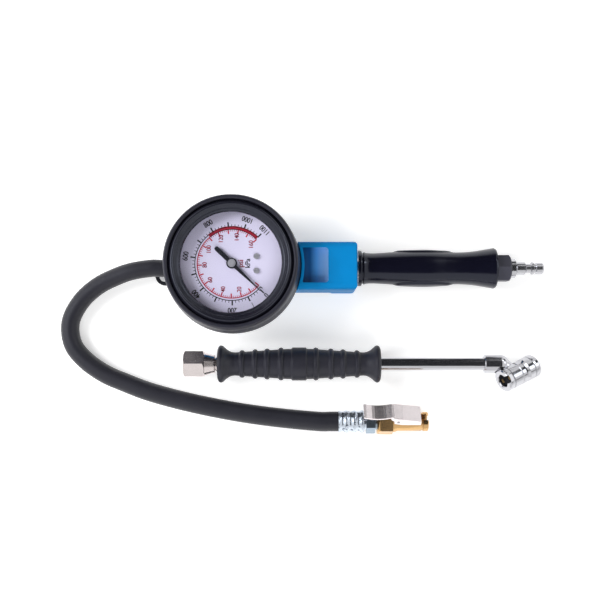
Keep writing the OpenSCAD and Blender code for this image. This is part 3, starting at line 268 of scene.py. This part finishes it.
hose_line = smooth_route(HOSE_ROUTE, HOSE_STEPS)
hose_length = sum((b - a).length for a, b in zip(hose_line, hose_line[1:])) * MM
curve = bpy.data.curves.new("rubber_hose", "CURVE")
curve.dimensions = "3D"
curve.bevel_depth = HOSE_RADIUS * MM
curve.bevel_resolution = 8
curve.use_fill_caps = True
spline = curve.splines.new("POLY")
spline.points.add(len(hose_line) - 1)
for index, (point, spot) in enumerate(zip(spline.points, hose_line)):
    point.co = (*(spot * MM), 1)
    point.radius = HOSE_THIN + (HOSE_FULL - HOSE_THIN) * index / (len(hose_line) - 1)
spline.use_smooth = True
hose = bpy.data.objects.new("rubber_hose", curve)
scene.collection.objects.link(hose)
hose_rubber = rubber("hose_rubber", tone(28, 28, 35), 0.38, 0.5)
curve.materials.append(hose_rubber)
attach(hose, "root")
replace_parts(hose, "hose")

# ---- Gauge boot ----
# A thick rubber boot that the gauge is pushed into. It is moulded in one piece, with grip rings
# round its wall and a rolled lip that holds the bezel.
GAUGE_Z = 24
BOOT_R, BOOT_DEPTH, BOOT_FLOOR = 45, 30, 1.2
BEZEL_R, LIP_R, LIP_T = 41.2, 40.4, 2.8
STEM_X, STEM_HOLE_R = 20, 9
GROOVES, GROOVE_Z, GROOVE_PITCH, GROOVE_DEPTH = 4, 9, 3.6, 0.7
TAPER_Z, TAPER = 6, 0.07


def finished(name, shape, material, body="root", sharp=35):
    """Makes a piece of a bmesh: smooth faces, sharp edges kept, on its body."""
    mesh = bpy.data.meshes.new(name)
    shape.to_mesh(mesh)
    shape.free()
    mesh.shade_smooth()
    mesh.set_sharp_from_angle(angle=math.radians(sharp))
    mesh.materials.append(material)
    piece = bpy.data.objects.new(name, mesh)
    scene.collection.objects.link(piece)
    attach(piece, body)
    return piece


def turned(outline, steps=128, soften=0.0, closed=True):
    """A round solid or wall: an outline of radius and height in mm, spun round Z."""
    shape = bmesh.new()
    spots = [shape.verts.new((r, 0, h)) for r, h in outline]
    for a, b in zip(spots, spots[1:]):
        shape.edges.new((a, b))
    if closed:
        shape.edges.new((spots[-1], spots[0]))
    if soften:
        corners = [v for v in shape.verts if v.co.x > 1e-6 and len(v.link_edges) == 2]
        bmesh.ops.bevel(shape, geom=corners, offset=soften, offset_type="OFFSET", segments=3,
                        profile=0.5, affect="VERTICES", clamp_overlap=True, material=-1)
    bmesh.ops.spin(shape, geom=[*shape.verts, *shape.edges], cent=(0, 0, 0), axis=(0, 0, 1),
                   angle=math.tau, steps=steps, use_merge=True)
    bmesh.ops.remove_doubles(shape, verts=shape.verts, dist=1e-4)
    bmesh.ops.recalc_face_normals(shape, faces=shape.faces)
    return shape


def put(shape, place=(0, 0, 0)):
    """Puts a shape drawn in mm in its place and makes it metres."""
    bmesh.ops.translate(shape, vec=place, verts=shape.verts)
    bmesh.ops.scale(shape, vec=(MM, MM, MM), verts=shape.verts)
    return shape


under_lip = BOOT_DEPTH - LIP_T
rings = []
for ring in range(GROOVES):
    at = GROOVE_Z + GROOVE_PITCH * ring
    wall = BOOT_R - TAPER * (at - TAPER_Z)
    rings += [(wall, at), (wall - GROOVE_DEPTH, at + 0.25), (wall - GROOVE_DEPTH, at + 0.75),
              (wall, at + 1.0)]
boot = turned([(0, 0), (BOOT_R - 4, 0), (BOOT_R - 1.4, 2.2), (BOOT_R, 5.5), *rings,
               (BOOT_R - 1.3, BOOT_DEPTH - 4.8), (BOOT_R - 1.5, BOOT_DEPTH - 2.4),
               (BOOT_R - 1.9, BOOT_DEPTH - 0.7), (BOOT_R - 2.6, BOOT_DEPTH),
               (LIP_R + 0.7, BOOT_DEPTH), (LIP_R, BOOT_DEPTH - 0.7), (LIP_R, under_lip),
               (BEZEL_R + 0.1, under_lip), (BEZEL_R + 0.1, BOOT_FLOOR), (0, BOOT_FLOOR)],
              soften=0.35, closed=False)
boot_rubber = rubber("boot_rubber", tone(32, 32, 41), 0.33, 0.4, 0.03)
boot = finished("boot_shell", put(boot, (0, 0, GAUGE_Z)), boot_rubber, sharp=50)
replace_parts(boot, "gauge_boot")


def cut(piece, tool):
    """Cuts a closed shape, in metres, out of a piece."""
    cutter = bpy.data.objects.new("cutter", bpy.data.meshes.new("cutter"))
    tool.to_mesh(cutter.data)
    tool.free()
    scene.collection.objects.link(cutter)
    step = piece.modifiers.new("cut", "BOOLEAN")
    step.object, step.operation, step.solver = cutter, "DIFFERENCE", "EXACT"
    view = bpy.context.evaluated_depsgraph_get()
    old, piece.data = piece.data, bpy.data.meshes.new_from_object(piece.evaluated_get(view))
    piece.modifiers.clear()
    piece.data.name = old.name
    bpy.data.objects.remove(cutter)


stem_hole = bmesh.new()
bmesh.ops.create_cone(stem_hole, cap_ends=True, segments=48, radius1=STEM_HOLE_R, radius2=STEM_HOLE_R,
                      depth=6)
cut(boot, put(stem_hole, (STEM_X, 0, GAUGE_Z)))

# ---- Bezel ----
# A steel ring rolled over the case and the lens, stove enamelled black. Its front is a round bead
# with a shallow cove inside it, down to the edge of the window.
WINDOW_R, CASE_R, BEAD_FOOT = 32.5, 40, 17.6
BEAD = [(WINDOW_R, BOOT_DEPTH - 5.2), (WINDOW_R, BOOT_DEPTH - 4.6), (WINDOW_R + 0.5, BOOT_DEPTH - 3.6),
        (WINDOW_R + 1.6, BOOT_DEPTH - 2.7), (WINDOW_R + 2.2, BOOT_DEPTH - 2.5),
        (CASE_R - 5, BOOT_DEPTH - 2.1), (CASE_R - 4.2, BOOT_DEPTH - 1.4),
        (CASE_R - 3.3, BOOT_DEPTH - 0.4), (CASE_R - 2.5, BOOT_DEPTH),
        (CASE_R - 1.7, BOOT_DEPTH - 0.3), (CASE_R - 1, BOOT_DEPTH - 1),
        (CASE_R - 0.4, BOOT_DEPTH - 2.4), (CASE_R + 0.3, BOOT_DEPTH - 2.9),
        (CASE_R + 1.2, BOOT_DEPTH - 3.5), (CASE_R + 1.2, BEAD_FOOT),
        (CASE_R + 0.1, BEAD_FOOT), (CASE_R + 0.1, BOOT_DEPTH - 5.2)]


def enamel(name, colour, rough, ripple=0.02, shine=0.5, tint=None):
    """Stoved or sprayed paint: a smooth film with a faint orange peel. tint, if given, paints light and
    shade into its colour.
    """
    finish = Finish(name)
    peel = finish.noise(0.9, 1)
    dust = finish.noise(9, 3)
    pale = tuple(min(1, c * 1.25 + 0.002) for c in colour[:3]) + (1,)
    coat = finish.blend(dust * 0.6, colour, pale)
    finish.shader(Base_Color=tint(finish, coat) if tint else coat, Roughness=rough + 0.1 * dust,
                  Normal=finish.bump(peel, ripple), Specular_IOR_Level=shine,
                  Specular_Tint=(0.82, 0.87, 1, 1))
    return finish.material


bezel = finished("bezel_bead", put(turned(BEAD, soften=0.3), (0, 0, GAUGE_Z)),
                 enamel("bezel_enamel", tone(28, 28, 36), 0.2, 0.01, 0.6), sharp=50)
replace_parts(bezel, "bezel_ring")

# ---- Lens, dial and its print ----
# Clear flat glass over an enamelled steel dial. The dial carries a black scale outside and a red one
# inside, each with its own circle, ticks and numbers, and is held by two screws. Radii are in UNITs.
DIAL_TOP = GAUGE_Z + 16.6
UNIT = 0.649
INK_T, STROKE, SPREAD = 0.05, 0.025, 0.09
ZERO, REST, PER_KPA, KPA_PER_PSI = -39.1, -42.7, -0.2501, 6.895
KPA_END, PSI_END = 1100, 160
KPA_CIRCLE, PSI_CIRCLE, RED_BAND = (36.6, 37.5), (34.2, 35.2), (34.2, 37.9)
BAND_START, BAND_SWEEP = 45.8, 84
KPA_TICK_IN, KPA_TICK_OUT, KPA_TICK_MAIN = 36.9, 39.6, 42
PSI_TICK_OUT, PSI_TICK_IN, PSI_TICK_MAIN = 34.6, 32.5, 30.1
SIDE_MARK = -63


def dress(node, material):
    """Gives a CAD node its finish."""
    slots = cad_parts[node].data.materials
    if len(slots):
        for index in range(len(slots)):
            slots[index] = material
    else:
        slots.append(material)


lens = Finish("clear_glass")
lens.shader(Base_Color=(0.05, 0.05, 0.06, 1), Roughness=0.02, IOR=1.45, Alpha=0.04,
            Specular_IOR_Level=0.5)
dress("window_lens", lens.material)

dial = Finish("dial_enamel")
speck = dial.noise(0.6, 2)
cloud = dial.noise(30, 1)
dial.shader(Base_Color=dial.blend(cloud, tone(206, 202, 232), tone(224, 220, 244)),
            Roughness=0.42 + 0.06 * speck)
dress("dial_plate", dial.material)


def ink(name, colour):
    finish = Finish(name)
    wear = finish.noise(0.25, 2)
    paler = tuple(c + 0.02 for c in colour[:3]) + (1,)
    return finish.shader(Base_Color=finish.blend(wear, colour, paler), Roughness=0.5).material


def spoke(shape, angle, inner, outer, width):
    """One printed tick: a thin bar along a radius, its width in mm."""
    inner, outer = inner * UNIT, outer * UNIT
    bar = bmesh.ops.create_cube(shape, size=1)["verts"]
    bmesh.ops.scale(shape, vec=(outer - inner, width, INK_T), verts=bar)
    bmesh.ops.translate(shape, vec=((inner + outer) / 2, 0, INK_T / 2), verts=bar)
    bmesh.ops.rotate(shape, matrix=Matrix.Rotation(math.radians(angle), 3, "Z"), verts=bar)


def arc(shape, start, sweep, circle):
    """A printed part of a circle, from its inner to its outer radius."""
    inner, outer = (radius * UNIT for radius in circle)
    corners = [shape.verts.new(spot) for spot in
               ((inner, 0, 0), (outer, 0, 0), (outer, 0, INK_T), (inner, 0, INK_T))]
    face = shape.faces.new(corners)
    bmesh.ops.rotate(shape, matrix=Matrix.Rotation(math.radians(start), 3, "Z"), verts=corners)
    bmesh.ops.spin(shape, geom=[face], cent=(0, 0, 0), axis=(0, 0, 1),
                   angle=math.radians(sweep), steps=max(4, round(abs(sweep) / 3)))


def letters(shape, text, size, spot, angle, squeeze):
    """Printed figures, centred on a point and turned, in two pulls a hair apart to give them weight."""
    font = bpy.data.curves.new("print", "FONT")
    font.body, font.size, font.extrude, font.offset = text, size, INK_T / 2, STROKE
    font.align_x, font.align_y = "CENTER", "CENTER"
    holder = bpy.data.objects.new("print", font)
    scene.collection.objects.link(holder)
    mesh = bpy.data.meshes.new_from_object(holder.evaluated_get(bpy.context.evaluated_depsgraph_get()))
    bpy.data.objects.remove(holder)
    mesh.transform(Matrix.Translation((*spot, INK_T / 2)) @ Matrix.Rotation(math.radians(angle), 4, "Z")
                   @ Matrix.Translation((-SPREAD, 0, 0)) @ Matrix.Diagonal((squeeze, 1, 1, 1)))
    shape.from_mesh(mesh)
    mesh.transform(Matrix.Translation(2 * SPREAD * Vector((math.cos(math.radians(angle)),
                                                           math.sin(math.radians(angle)), 0))))
    shape.from_mesh(mesh)
    bpy.data.meshes.remove(mesh)


def on_dial(angle, radius):
    reach = radius * UNIT
    return (reach * math.cos(math.radians(angle)), reach * math.sin(math.radians(angle)))


def at_kpa(value):
    return ZERO + PER_KPA * value


def at_psi(value):
    return at_kpa(KPA_PER_PSI * value)


black_print, red_print = bmesh.new(), bmesh.new()
arc(black_print, at_kpa(0), PER_KPA * KPA_END, KPA_CIRCLE)
arc(red_print, at_psi(0), at_psi(PSI_END) - at_psi(0), PSI_CIRCLE)
arc(red_print, BAND_START, BAND_SWEEP, RED_BAND)
for value in range(20, KPA_END + 1, 20):
    end, width = (KPA_TICK_MAIN, 0.95) if value % 100 == 0 else (KPA_TICK_OUT, 0.4)
    spoke(black_print, at_kpa(value), KPA_TICK_IN, end, width)
spoke(black_print, ZERO, KPA_TICK_IN, KPA_TICK_OUT, 0.6)
spoke(black_print, REST, 38.5, 43.5, 0.9)
for value in range(0, PSI_END + 1, 2):
    start, width = (PSI_TICK_MAIN, 0.85) if value % 10 == 0 else (PSI_TICK_IN, 0.38)
    spoke(red_print, at_psi(value), start, PSI_TICK_OUT, width)
for value in (200, 400, 600, 800):
    letters(black_print, str(value), 5, on_dial(at_kpa(value), 46.8), at_kpa(value) - 90, 0.8)
for value in (1000, 1100):
    letters(black_print, str(value), 4.9, on_dial(at_kpa(value), 47), at_kpa(value) + 90, 0.76)
letters(black_print, "0", 4.9, on_dial(REST, 47.2), REST + 90, 0.8)
for value in range(20, PSI_END + 1, 20):
    letters(red_print, str(value), 4.1, on_dial(at_psi(value), 27.1), 90, 0.88)
spoke(black_print, SIDE_MARK, 44, 49.5, 0.4)
letters(red_print, "psi", 4.9, (8.9 * UNIT, 0), 90, 0.95)
letters(black_print, "kPa", 4.7, (16 * UNIT, 0.1), 90, 0.92)
for name, shape, colour in (("black_scale", black_print, tone(30, 30, 38)),
                            ("red_scale", red_print, tone(176, 20, 52))):
    bmesh.ops.recalc_face_normals(shape, faces=shape.faces)
    finished(name, put(shape, (0, 0, DIAL_TOP)), ink(name, colour))


def metal(name, colour, rough, wear_mm=1.2, depth_mm=0.004, bare=1.0):
    """Bright metal: a plated or machined skin with fine scratches and duller patches."""
    finish = Finish(name)
    scratch = finish.noise(wear_mm * 0.2, 3)
    patch = finish.noise(wear_mm * 6, 3)
    dull = tuple(c * 0.72 for c in colour[:3]) + (1,)
    finish.shader(Base_Color=finish.blend(patch * 0.5, colour, dull), Metallic=bare,
                  Roughness=rough + 0.10 * patch + 0.06 * scratch,
                  Normal=finish.bump(scratch, depth_mm, 0.35))
    return finish.material


bright_steel = metal("bright_steel", (0.72, 0.72, 0.74, 1), 0.2)
for node in ("pinion", "movement_screws", "trigger_pin", "chuck_pin"):
    dress(node, bright_steel)
tinned = metal("tinned_steel", (0.50, 0.50, 0.56, 1), 0.3, 1.2, 0.08, 0.5)
for node in ("dial_screws", "pointer_cap"):
    dress(node, tinned)
dress("pointer", enamel("pointer_enamel", tone(28, 28, 34), 0.35))

# ---- Movement ----
# Brass plates, gears and link, a phosphor bronze tube and a steel hairspring. The tube uncurls under
# pressure and the link turns that into the pointer's sweep.
movement_brass = metal("movement_brass", (0.72, 0.50, 0.22, 1), 0.28)
for node in ("bourdon_tube", "tube_socket", "movement_back", "movement_front", "sector_gear", "link",
             "valve_stem", "valve_cap", "chuck_depressor", "head_shuttle"):
    dress(node, movement_brass)
spring_steel = metal("spring_steel", (0.5, 0.5, 0.52, 1), 0.25)
dress("hairspring", spring_steel)


def merged(node):
    """A copy of a CAD node with its loose triangles joined."""
    shape = bmesh.new()
    shape.from_mesh(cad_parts[node].data)
    bmesh.ops.remove_doubles(shape, verts=shape.verts, dist=2e-6)
    return shape


def sprung(node):
    """A copy of a CAD coil spring, with a mesh of its own, in place of the CAD node."""
    coil = finished(node + "_coil", merged(node), spring_steel)
    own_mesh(coil)
    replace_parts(coil, node)
    return coil


sprung("valve_spring")
chuck_spring = sprung("chuck_spring")
depressor_spring = sprung("depressor_spring")
dress("gauge_case", enamel("case_enamel", tone(30, 30, 36), 0.35))
seal_rubber = rubber("seal_rubber", tone(30, 30, 33), 0.5)
for node in ("window_gasket", "valve_seal", "chuck_seal", "head_seals"):
    dress(node, seal_rubber)

# ---- Housing ----
# Two die cast shells, powder coated blue and screwed together over the valve block. The front one
# has a thumb scoop beside the gauge. Their edges are rounded, as a coated casting's are.
SCOOP_FLOOR_Z, SCOOP_TOP_Z, SCOOP_HALF_W, SCOOP_X0, SCOOP_X1 = 27.2, 33.7, 11.65, 47.5, 62.9
# Colours of painted light in the thumb scoop, left to right: painted shadow beside the boot, then painted
# sheen at its right end.
SCOOP_PAINTED_SHADOW_AND_SHEEN = [(0.0, (0, 66, 112)), (0.22, (0, 72, 124)), (0.5, (78, 146, 216)), (1, (150, 196, 250))]
SHARP_ANGLE = 0.7


def thumb_polish(finish, coat):
    """Painted light inside the thumb scoop: a painted shadow, deep blue beside the boot, grading to a
    painted sheen, paler to the right.
    """
    spot = finish.spot()
    x, y, z = (finish.add("SeparateXYZ", {}, {"Vector": spot}, output=axis) for axis in "XYZ")
    inside = (z > SCOOP_FLOOR_Z * MM) * z.math("LESS_THAN", z, SCOOP_TOP_Z * MM)
    inside = inside * x.math("LESS_THAN", x, SCOOP_X1 * MM)
    inside = inside * y.math("LESS_THAN", y.math("ABSOLUTE", y), SCOOP_HALF_W * MM)
    along = finish.add("MapRange", {}, {"Value": x, "From Min": SCOOP_X0 * MM, "From Max": SCOOP_X1 * MM})
    stops = [(share, tone(*shade)[:3]) for share, shade in SCOOP_PAINTED_SHADOW_AND_SHEEN]
    sweep = finish.add("ValToRGB", {"stops": stops}, {"Fac": along})
    return finish.blend(inside, coat, sweep)


# The blue paint, with a painted shadow and a painted sheen inside the thumb scoop.
housing_paint = enamel("housing_paint", tone(0, 126, 192), 0.42, 0.03, 0.15, thumb_polish)


def soften(node, material, slot, radius):
    """Puts a copy of a CAD node with its sharp edges rounded in its place."""
    shape = merged(node)
    bmesh.ops.dissolve_limit(shape, angle_limit=math.radians(0.5), verts=shape.verts,
                             edges=shape.edges)
    bmesh.ops.recalc_face_normals(shape, faces=shape.faces)
    edges = [e for e in shape.edges if len(e.link_faces) == 2 and e.calc_face_angle() > SHARP_ANGLE]
    bmesh.ops.bevel(shape, geom=edges, offset=radius * MM, offset_type="OFFSET", segments=2,
                    profile=0.5, affect="EDGES", clamp_overlap=True, material=-1)
    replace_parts(finished(node + "_cast", shape, material), node)


soften("housing_front", housing_paint, "housing_blue", 0.5)
dress("housing_back", housing_paint)
dress("housing_screws", metal("dark_screws", (0.2, 0.2, 0.21, 1), 0.35))
dress("valve_block", metal("block_alloy", (0.66, 0.66, 0.68, 1), 0.35))
dress("trigger_lever", enamel("lever_enamel", tone(30, 30, 34), 0.3))

# ---- Handle ----
# A steel tube carries air to the housing, inside a glossy moulded grip with a raised pad on each
# side. The black hexagon bushing screws into its end and takes the air plug.
AXIS_Z = 14.5
GRIP_X0, GRIP_L, TUBE_R = 83.4, 92.6, 7.1
GRIP_LINE = [(11.1, 10.3), (24.4, 11.1), (37.6, 11.7), (47.3, 11.8), (59.6, 11.1), (68.5, 10.9),
             (77.3, 11.5), (86.1, 12.9), (91.4, 13.8)]
PAD_MID, PAD_HALF, PAD_RISE, PAD_SPAN = 43.6, 20.5, 0.9, math.radians(30)
GRIP_SKIN_R = 9


def along_x(place):
    """A turn that lays a shape drawn up Z along X, with its start at a place."""
    return Matrix.Translation(place) @ Matrix.Rotation(math.pi / 2, 4, "Y")


def moved(shape, matrix):
    bmesh.ops.transform(shape, matrix=matrix, verts=shape.verts)
    return shape


def fine_line(points, pitch):
    """A smooth outline through points of length and radius, at an even pitch."""
    line = smooth_route([(x, r, 0) for x, r in points], 12)
    spots, last = [], None
    for spot in line:
        if last is None or spot.x - last >= pitch or spot is line[-1]:
            spots.append((spot.y, spot.x))
            last = spot.x
    return spots


def swell(shape, rise):
    """Moves each point of a round shape outwards by rise(length, angle, radius)."""
    for vert in shape.verts:
        out = Vector((vert.co.x, vert.co.y))
        if out.length > 1e-6:
            out += out.normalized() * rise(vert.co.z, math.atan2(vert.co.y, vert.co.x), out.length)
            vert.co.x, vert.co.y = out


def pad_rise(x, angle, radius):
    """A lens-shaped pad on each side, with a soft step round it."""
    reach = 1 - ((x - PAD_MID) / PAD_HALF) ** 2
    if radius < GRIP_SKIN_R or reach <= 0:
        return 0
    off = min(abs(angle - math.pi / 2), abs(angle + math.pi / 2)) / (PAD_SPAN * math.sqrt(reach))
    return PAD_RISE * max(0, min(1, (1.12 - off) / 0.24)) * min(1, reach * 3)


grip = turned([(TUBE_R, 0), (12.1, 0), (12.2, 1.2), (11.9, 2.2), (10.4, 2.5), (10.4, 3.2), (11.1, 3.7),
               (10.5, 5.6), (10.3, 8), *fine_line(GRIP_LINE, 1), (13.1, GRIP_L), (TUBE_R, GRIP_L)],
              steps=160)
swell(grip, pad_rise)
grip_plastic = enamel("grip_plastic", tone(18, 18, 30), 0.13, 0.01)
grip = finished("grip_shell", put(moved(grip, along_x((GRIP_X0, 0, AXIS_Z)))), grip_plastic,
                sharp=50)
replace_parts(grip, "handle_grip")
dress("handle_tube", bright_steel)
dress("inlet_bushing", enamel("bushing_black", tone(56, 55, 64), 0.4))
chrome = metal("chrome", (0.58, 0.58, 0.61, 1), 0.05, 2.0)
dress("inlet_plug", chrome)

# ---- Hose fittings ----
# Zinc plated steel: a hexagon fitting in the housing, and ferrules crimped over the hose, with the
# press's waves along them and its dents all round.
CRIMP_PITCH, CRIMP_R, CRIMP_WAVE, CRIMP_DENT, CRIMP_JAWS = 5.3, 7.25, 0.35, 0.32, 8
SLEEVE_BORE, SLEEVE_SKIN_R, SLEEVE_STEPS = 2.6, 6.4, 44
CHUCK_Y, CHUCK_Z = -103, 9.2


def zinc_plate(name):
    """Zinc plate: bluish white, with dark stains in patches."""
    finish = Finish(name)
    stain = finish.noise(1.7, 3)
    grain = finish.noise(0.3, 2)
    share = finish.add("MapRange", {}, {"Value": stain, "From Min": 0.56, "From Max": 0.68})
    finish.shader(Base_Color=finish.blend(share, (0.62, 0.68, 0.76, 1), (0.09, 0.11, 0.15, 1)),
                  Metallic=1.0, Roughness=0.2 + 0.15 * grain, Normal=finish.bump(stain, 0.06, 0.5))
    return finish.material


def crimp(x, angle, radius):
    """The waves and dents of a crimped sleeve."""
    if radius < SLEEVE_SKIN_R:
        return 0
    wave = math.cos(math.tau * x / CRIMP_PITCH)
    dent = CRIMP_DENT * (0.5 + 0.5 * math.cos(CRIMP_JAWS * angle)) * (0.5 - 0.5 * wave)
    return CRIMP_WAVE * wave - dent


def sleeve(node, length, place, shoulder):
    """A crimped sleeve that stands in for a ferrule. Its shoulder is a radius and a length."""
    radius, end = shoulder[0], length + shoulder[1]
    waist = [(CRIMP_R, 0.4 + k * (length - 0.8) / SLEEVE_STEPS) for k in range(SLEEVE_STEPS + 1)]
    shape = turned([(SLEEVE_BORE, 0), (CRIMP_R - 0.3, 0), *waist, (CRIMP_R - 0.3, length),
                    (radius, length), (radius, end), (SLEEVE_BORE, end)], steps=96)
    swell(shape, crimp)
    shape = put(moved(shape, along_x(place)))
    piece = finished(node + "_crimped", shape, ferrule_zinc, sharp=50)
    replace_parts(piece, node)
    return piece


ferrule_zinc = zinc_plate("ferrule_zinc")
chuck_sleeve = sleeve("hose_ferrule", 17.0, (70, CHUCK_Y, CHUCK_Z), (5.6, 1.5))
sleeve("inner_ferrule", 13.7, (-45, 0, AXIS_Z), (4.5, 0.3))
dress("outlet_fitting", metal("zinc_plate", (0.60, 0.64, 0.70, 1), 0.22, 0.8))
dress("hose_nut", metal("steel_blue", (0.34, 0.42, 0.50, 1), 0.22, 0.8))
dress("hanging_eye", enamel("eye_enamel", tone(30, 30, 34), 0.4))

# ---- Clip-on chuck ----
# A machined brass body and a nickel plated lever of folded sheet, hinged on a pin. The barrel is
# slotted through its end ring, where the lever's jaw reaches in.
CHUCK_ROLL = -33
CHUCK = Matrix.Translation((0, CHUCK_Y, CHUCK_Z)) @ Matrix.Rotation(math.radians(CHUCK_ROLL), 4, "X")
RING_GAP, RING_GAP_PLACE = (6, 5.2, 6), (130.1, 0, 6.2)


def block(size, matrix):
    """A box to cut with, drawn in mm and made metres."""
    shape = bmesh.new()
    bmesh.ops.create_cube(shape, size=1)
    bmesh.ops.scale(shape, vec=size, verts=shape.verts)
    return put(moved(shape, matrix))


chuck_brass = metal("chuck_brass", (0.70, 0.44, 0.20, 1), 0.14)
body = finished("slotted_body", merged("chuck_body"), chuck_brass, sharp=14)
cut(body, block(RING_GAP, CHUCK @ Matrix.Translation(RING_GAP_PLACE)))
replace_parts(body, "chuck_body")
nickel = metal("nickel_plate", (0.80, 0.73, 0.72, 1), 0.16)
dress("chuck_lever", metal("lever_nickel", (0.88, 0.81, 0.82, 1), 0.14, bare=0.9))

# ---- Spare chuck ----
# A nickel plated nut and a chromed rod pressed into it, a ribbed rubber grip pushed over both, and a
# cross-piece with a mouth at each end. The left cap is slotted for a key.
EXT_Y, EXT_Z = -64.5, 13
EXT_GRIP_X, EXT_GRIP_L, ROD_R = -10.9, 109, 4.45
RIBS = [0.086, 0.148, 0.228, 0.302, 0.388, 0.604, 0.696, 0.771, 0.857, 0.912]
NECK_R, BELLY_RISE, RIB_HALF, RIB_RISE, BAND_HALF, BAND_RISE = 7.8, 2.4, 1.7, 1.15, 5.2, 0.9
RIBBED_FROM, RIBBED_PITCH, RIBBED_STEPS = 11.6, 0.3, 287
FLARE = [(0, 10.6), (0.8, 12.0), (2, 12.5), (3.2, 12.2), (4.4, 11.2), (5.8, 10), (7.6, 8.8),
         (9.4, 8.1), (11.4, 7.8)]


def ribbed(x):
    """Radius of the ribbed grip's body at a length, with its ribs and middle band."""
    near = min(x, EXT_GRIP_L - x)
    radius = NECK_R + BELLY_RISE * max(0, min(1, (near - 11) / 36))
    for share in RIBS:
        off = (x - share * EXT_GRIP_L) / RIB_HALF
        if abs(off) < 1:
            radius += RIB_RISE * math.sqrt(1 - off ** 2)
    band = min(1, max(0, (BAND_HALF - abs(x - EXT_GRIP_L / 2)) / 0.6))
    return radius + BAND_RISE * band


left_end = fine_line(FLARE, 0.35)
right_end = [(r, EXT_GRIP_L - x) for r, x in reversed(left_end)]
stations = [RIBBED_FROM + RIBBED_PITCH * k for k in range(RIBBED_STEPS)]
rib_grip = turned([(ROD_R, 0.6), (9.4, 0), *left_end, *[(ribbed(x), x) for x in stations], *right_end,
                   (9.4, EXT_GRIP_L), (ROD_R, EXT_GRIP_L - 0.6)], steps=96)
rib_grip = put(moved(rib_grip, along_x((EXT_GRIP_X, EXT_Y, EXT_Z))))
grip_rubber = rubber("grip_rubber", tone(29, 29, 37), 0.38, 0.5, 0.05)
rib_grip = finished("ribbed_grip", rib_grip, grip_rubber, "spare_chuck", 60)
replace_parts(rib_grip, "ext_grip")
dress("ext_nut", nickel)
dress("ext_tube", chrome)
dress("twin_head", chrome)

HEAD_R, HEAD_L, CAP_L = 7.9, 28, 5
HEAD_X, HEAD_DROP, HEAD_TURN, HEAD_TILT = 190.7, 6.1, math.radians(25), math.radians(22)
HEAD = (Matrix.Translation((HEAD_X, EXT_Y - HEAD_DROP, EXT_Z)) @ Matrix.Rotation(HEAD_TURN, 4, "Z")
        @ Matrix.Rotation(HEAD_TILT, 4, "Y"))
KEY_SLOT, KEY_SLOT_PLACE = (5, 5, 10), (-12.6, 0, 5)
caps = bmesh.new()
for side, bore in ((0, 4.35), (1, 4.2)):
    cap = turned([(bore, 0), (HEAD_R - 0.5, 0), (HEAD_R - 0.5, 0.4), (HEAD_R, 0.5), (HEAD_R, CAP_L - 0.9),
                  (HEAD_R - 0.8, CAP_L), (bore + 0.6, CAP_L), (bore, CAP_L - 0.6)], steps=96, soften=0.12)
    moved(cap, HEAD @ Matrix.Rotation(math.pi * side, 4, "Z") @ along_x((HEAD_L / 2 - CAP_L, 0, 0)))
    half = bpy.data.meshes.new("cap")
    cap.to_mesh(half)
    cap.free()
    caps.from_mesh(half)
    bpy.data.meshes.remove(half)
caps = finished("slotted_caps", put(caps), chrome, "spare_chuck", 50)
cut(caps, block(KEY_SLOT, HEAD @ Matrix.Translation(KEY_SLOT_PLACE)))
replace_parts(caps, "head_caps")
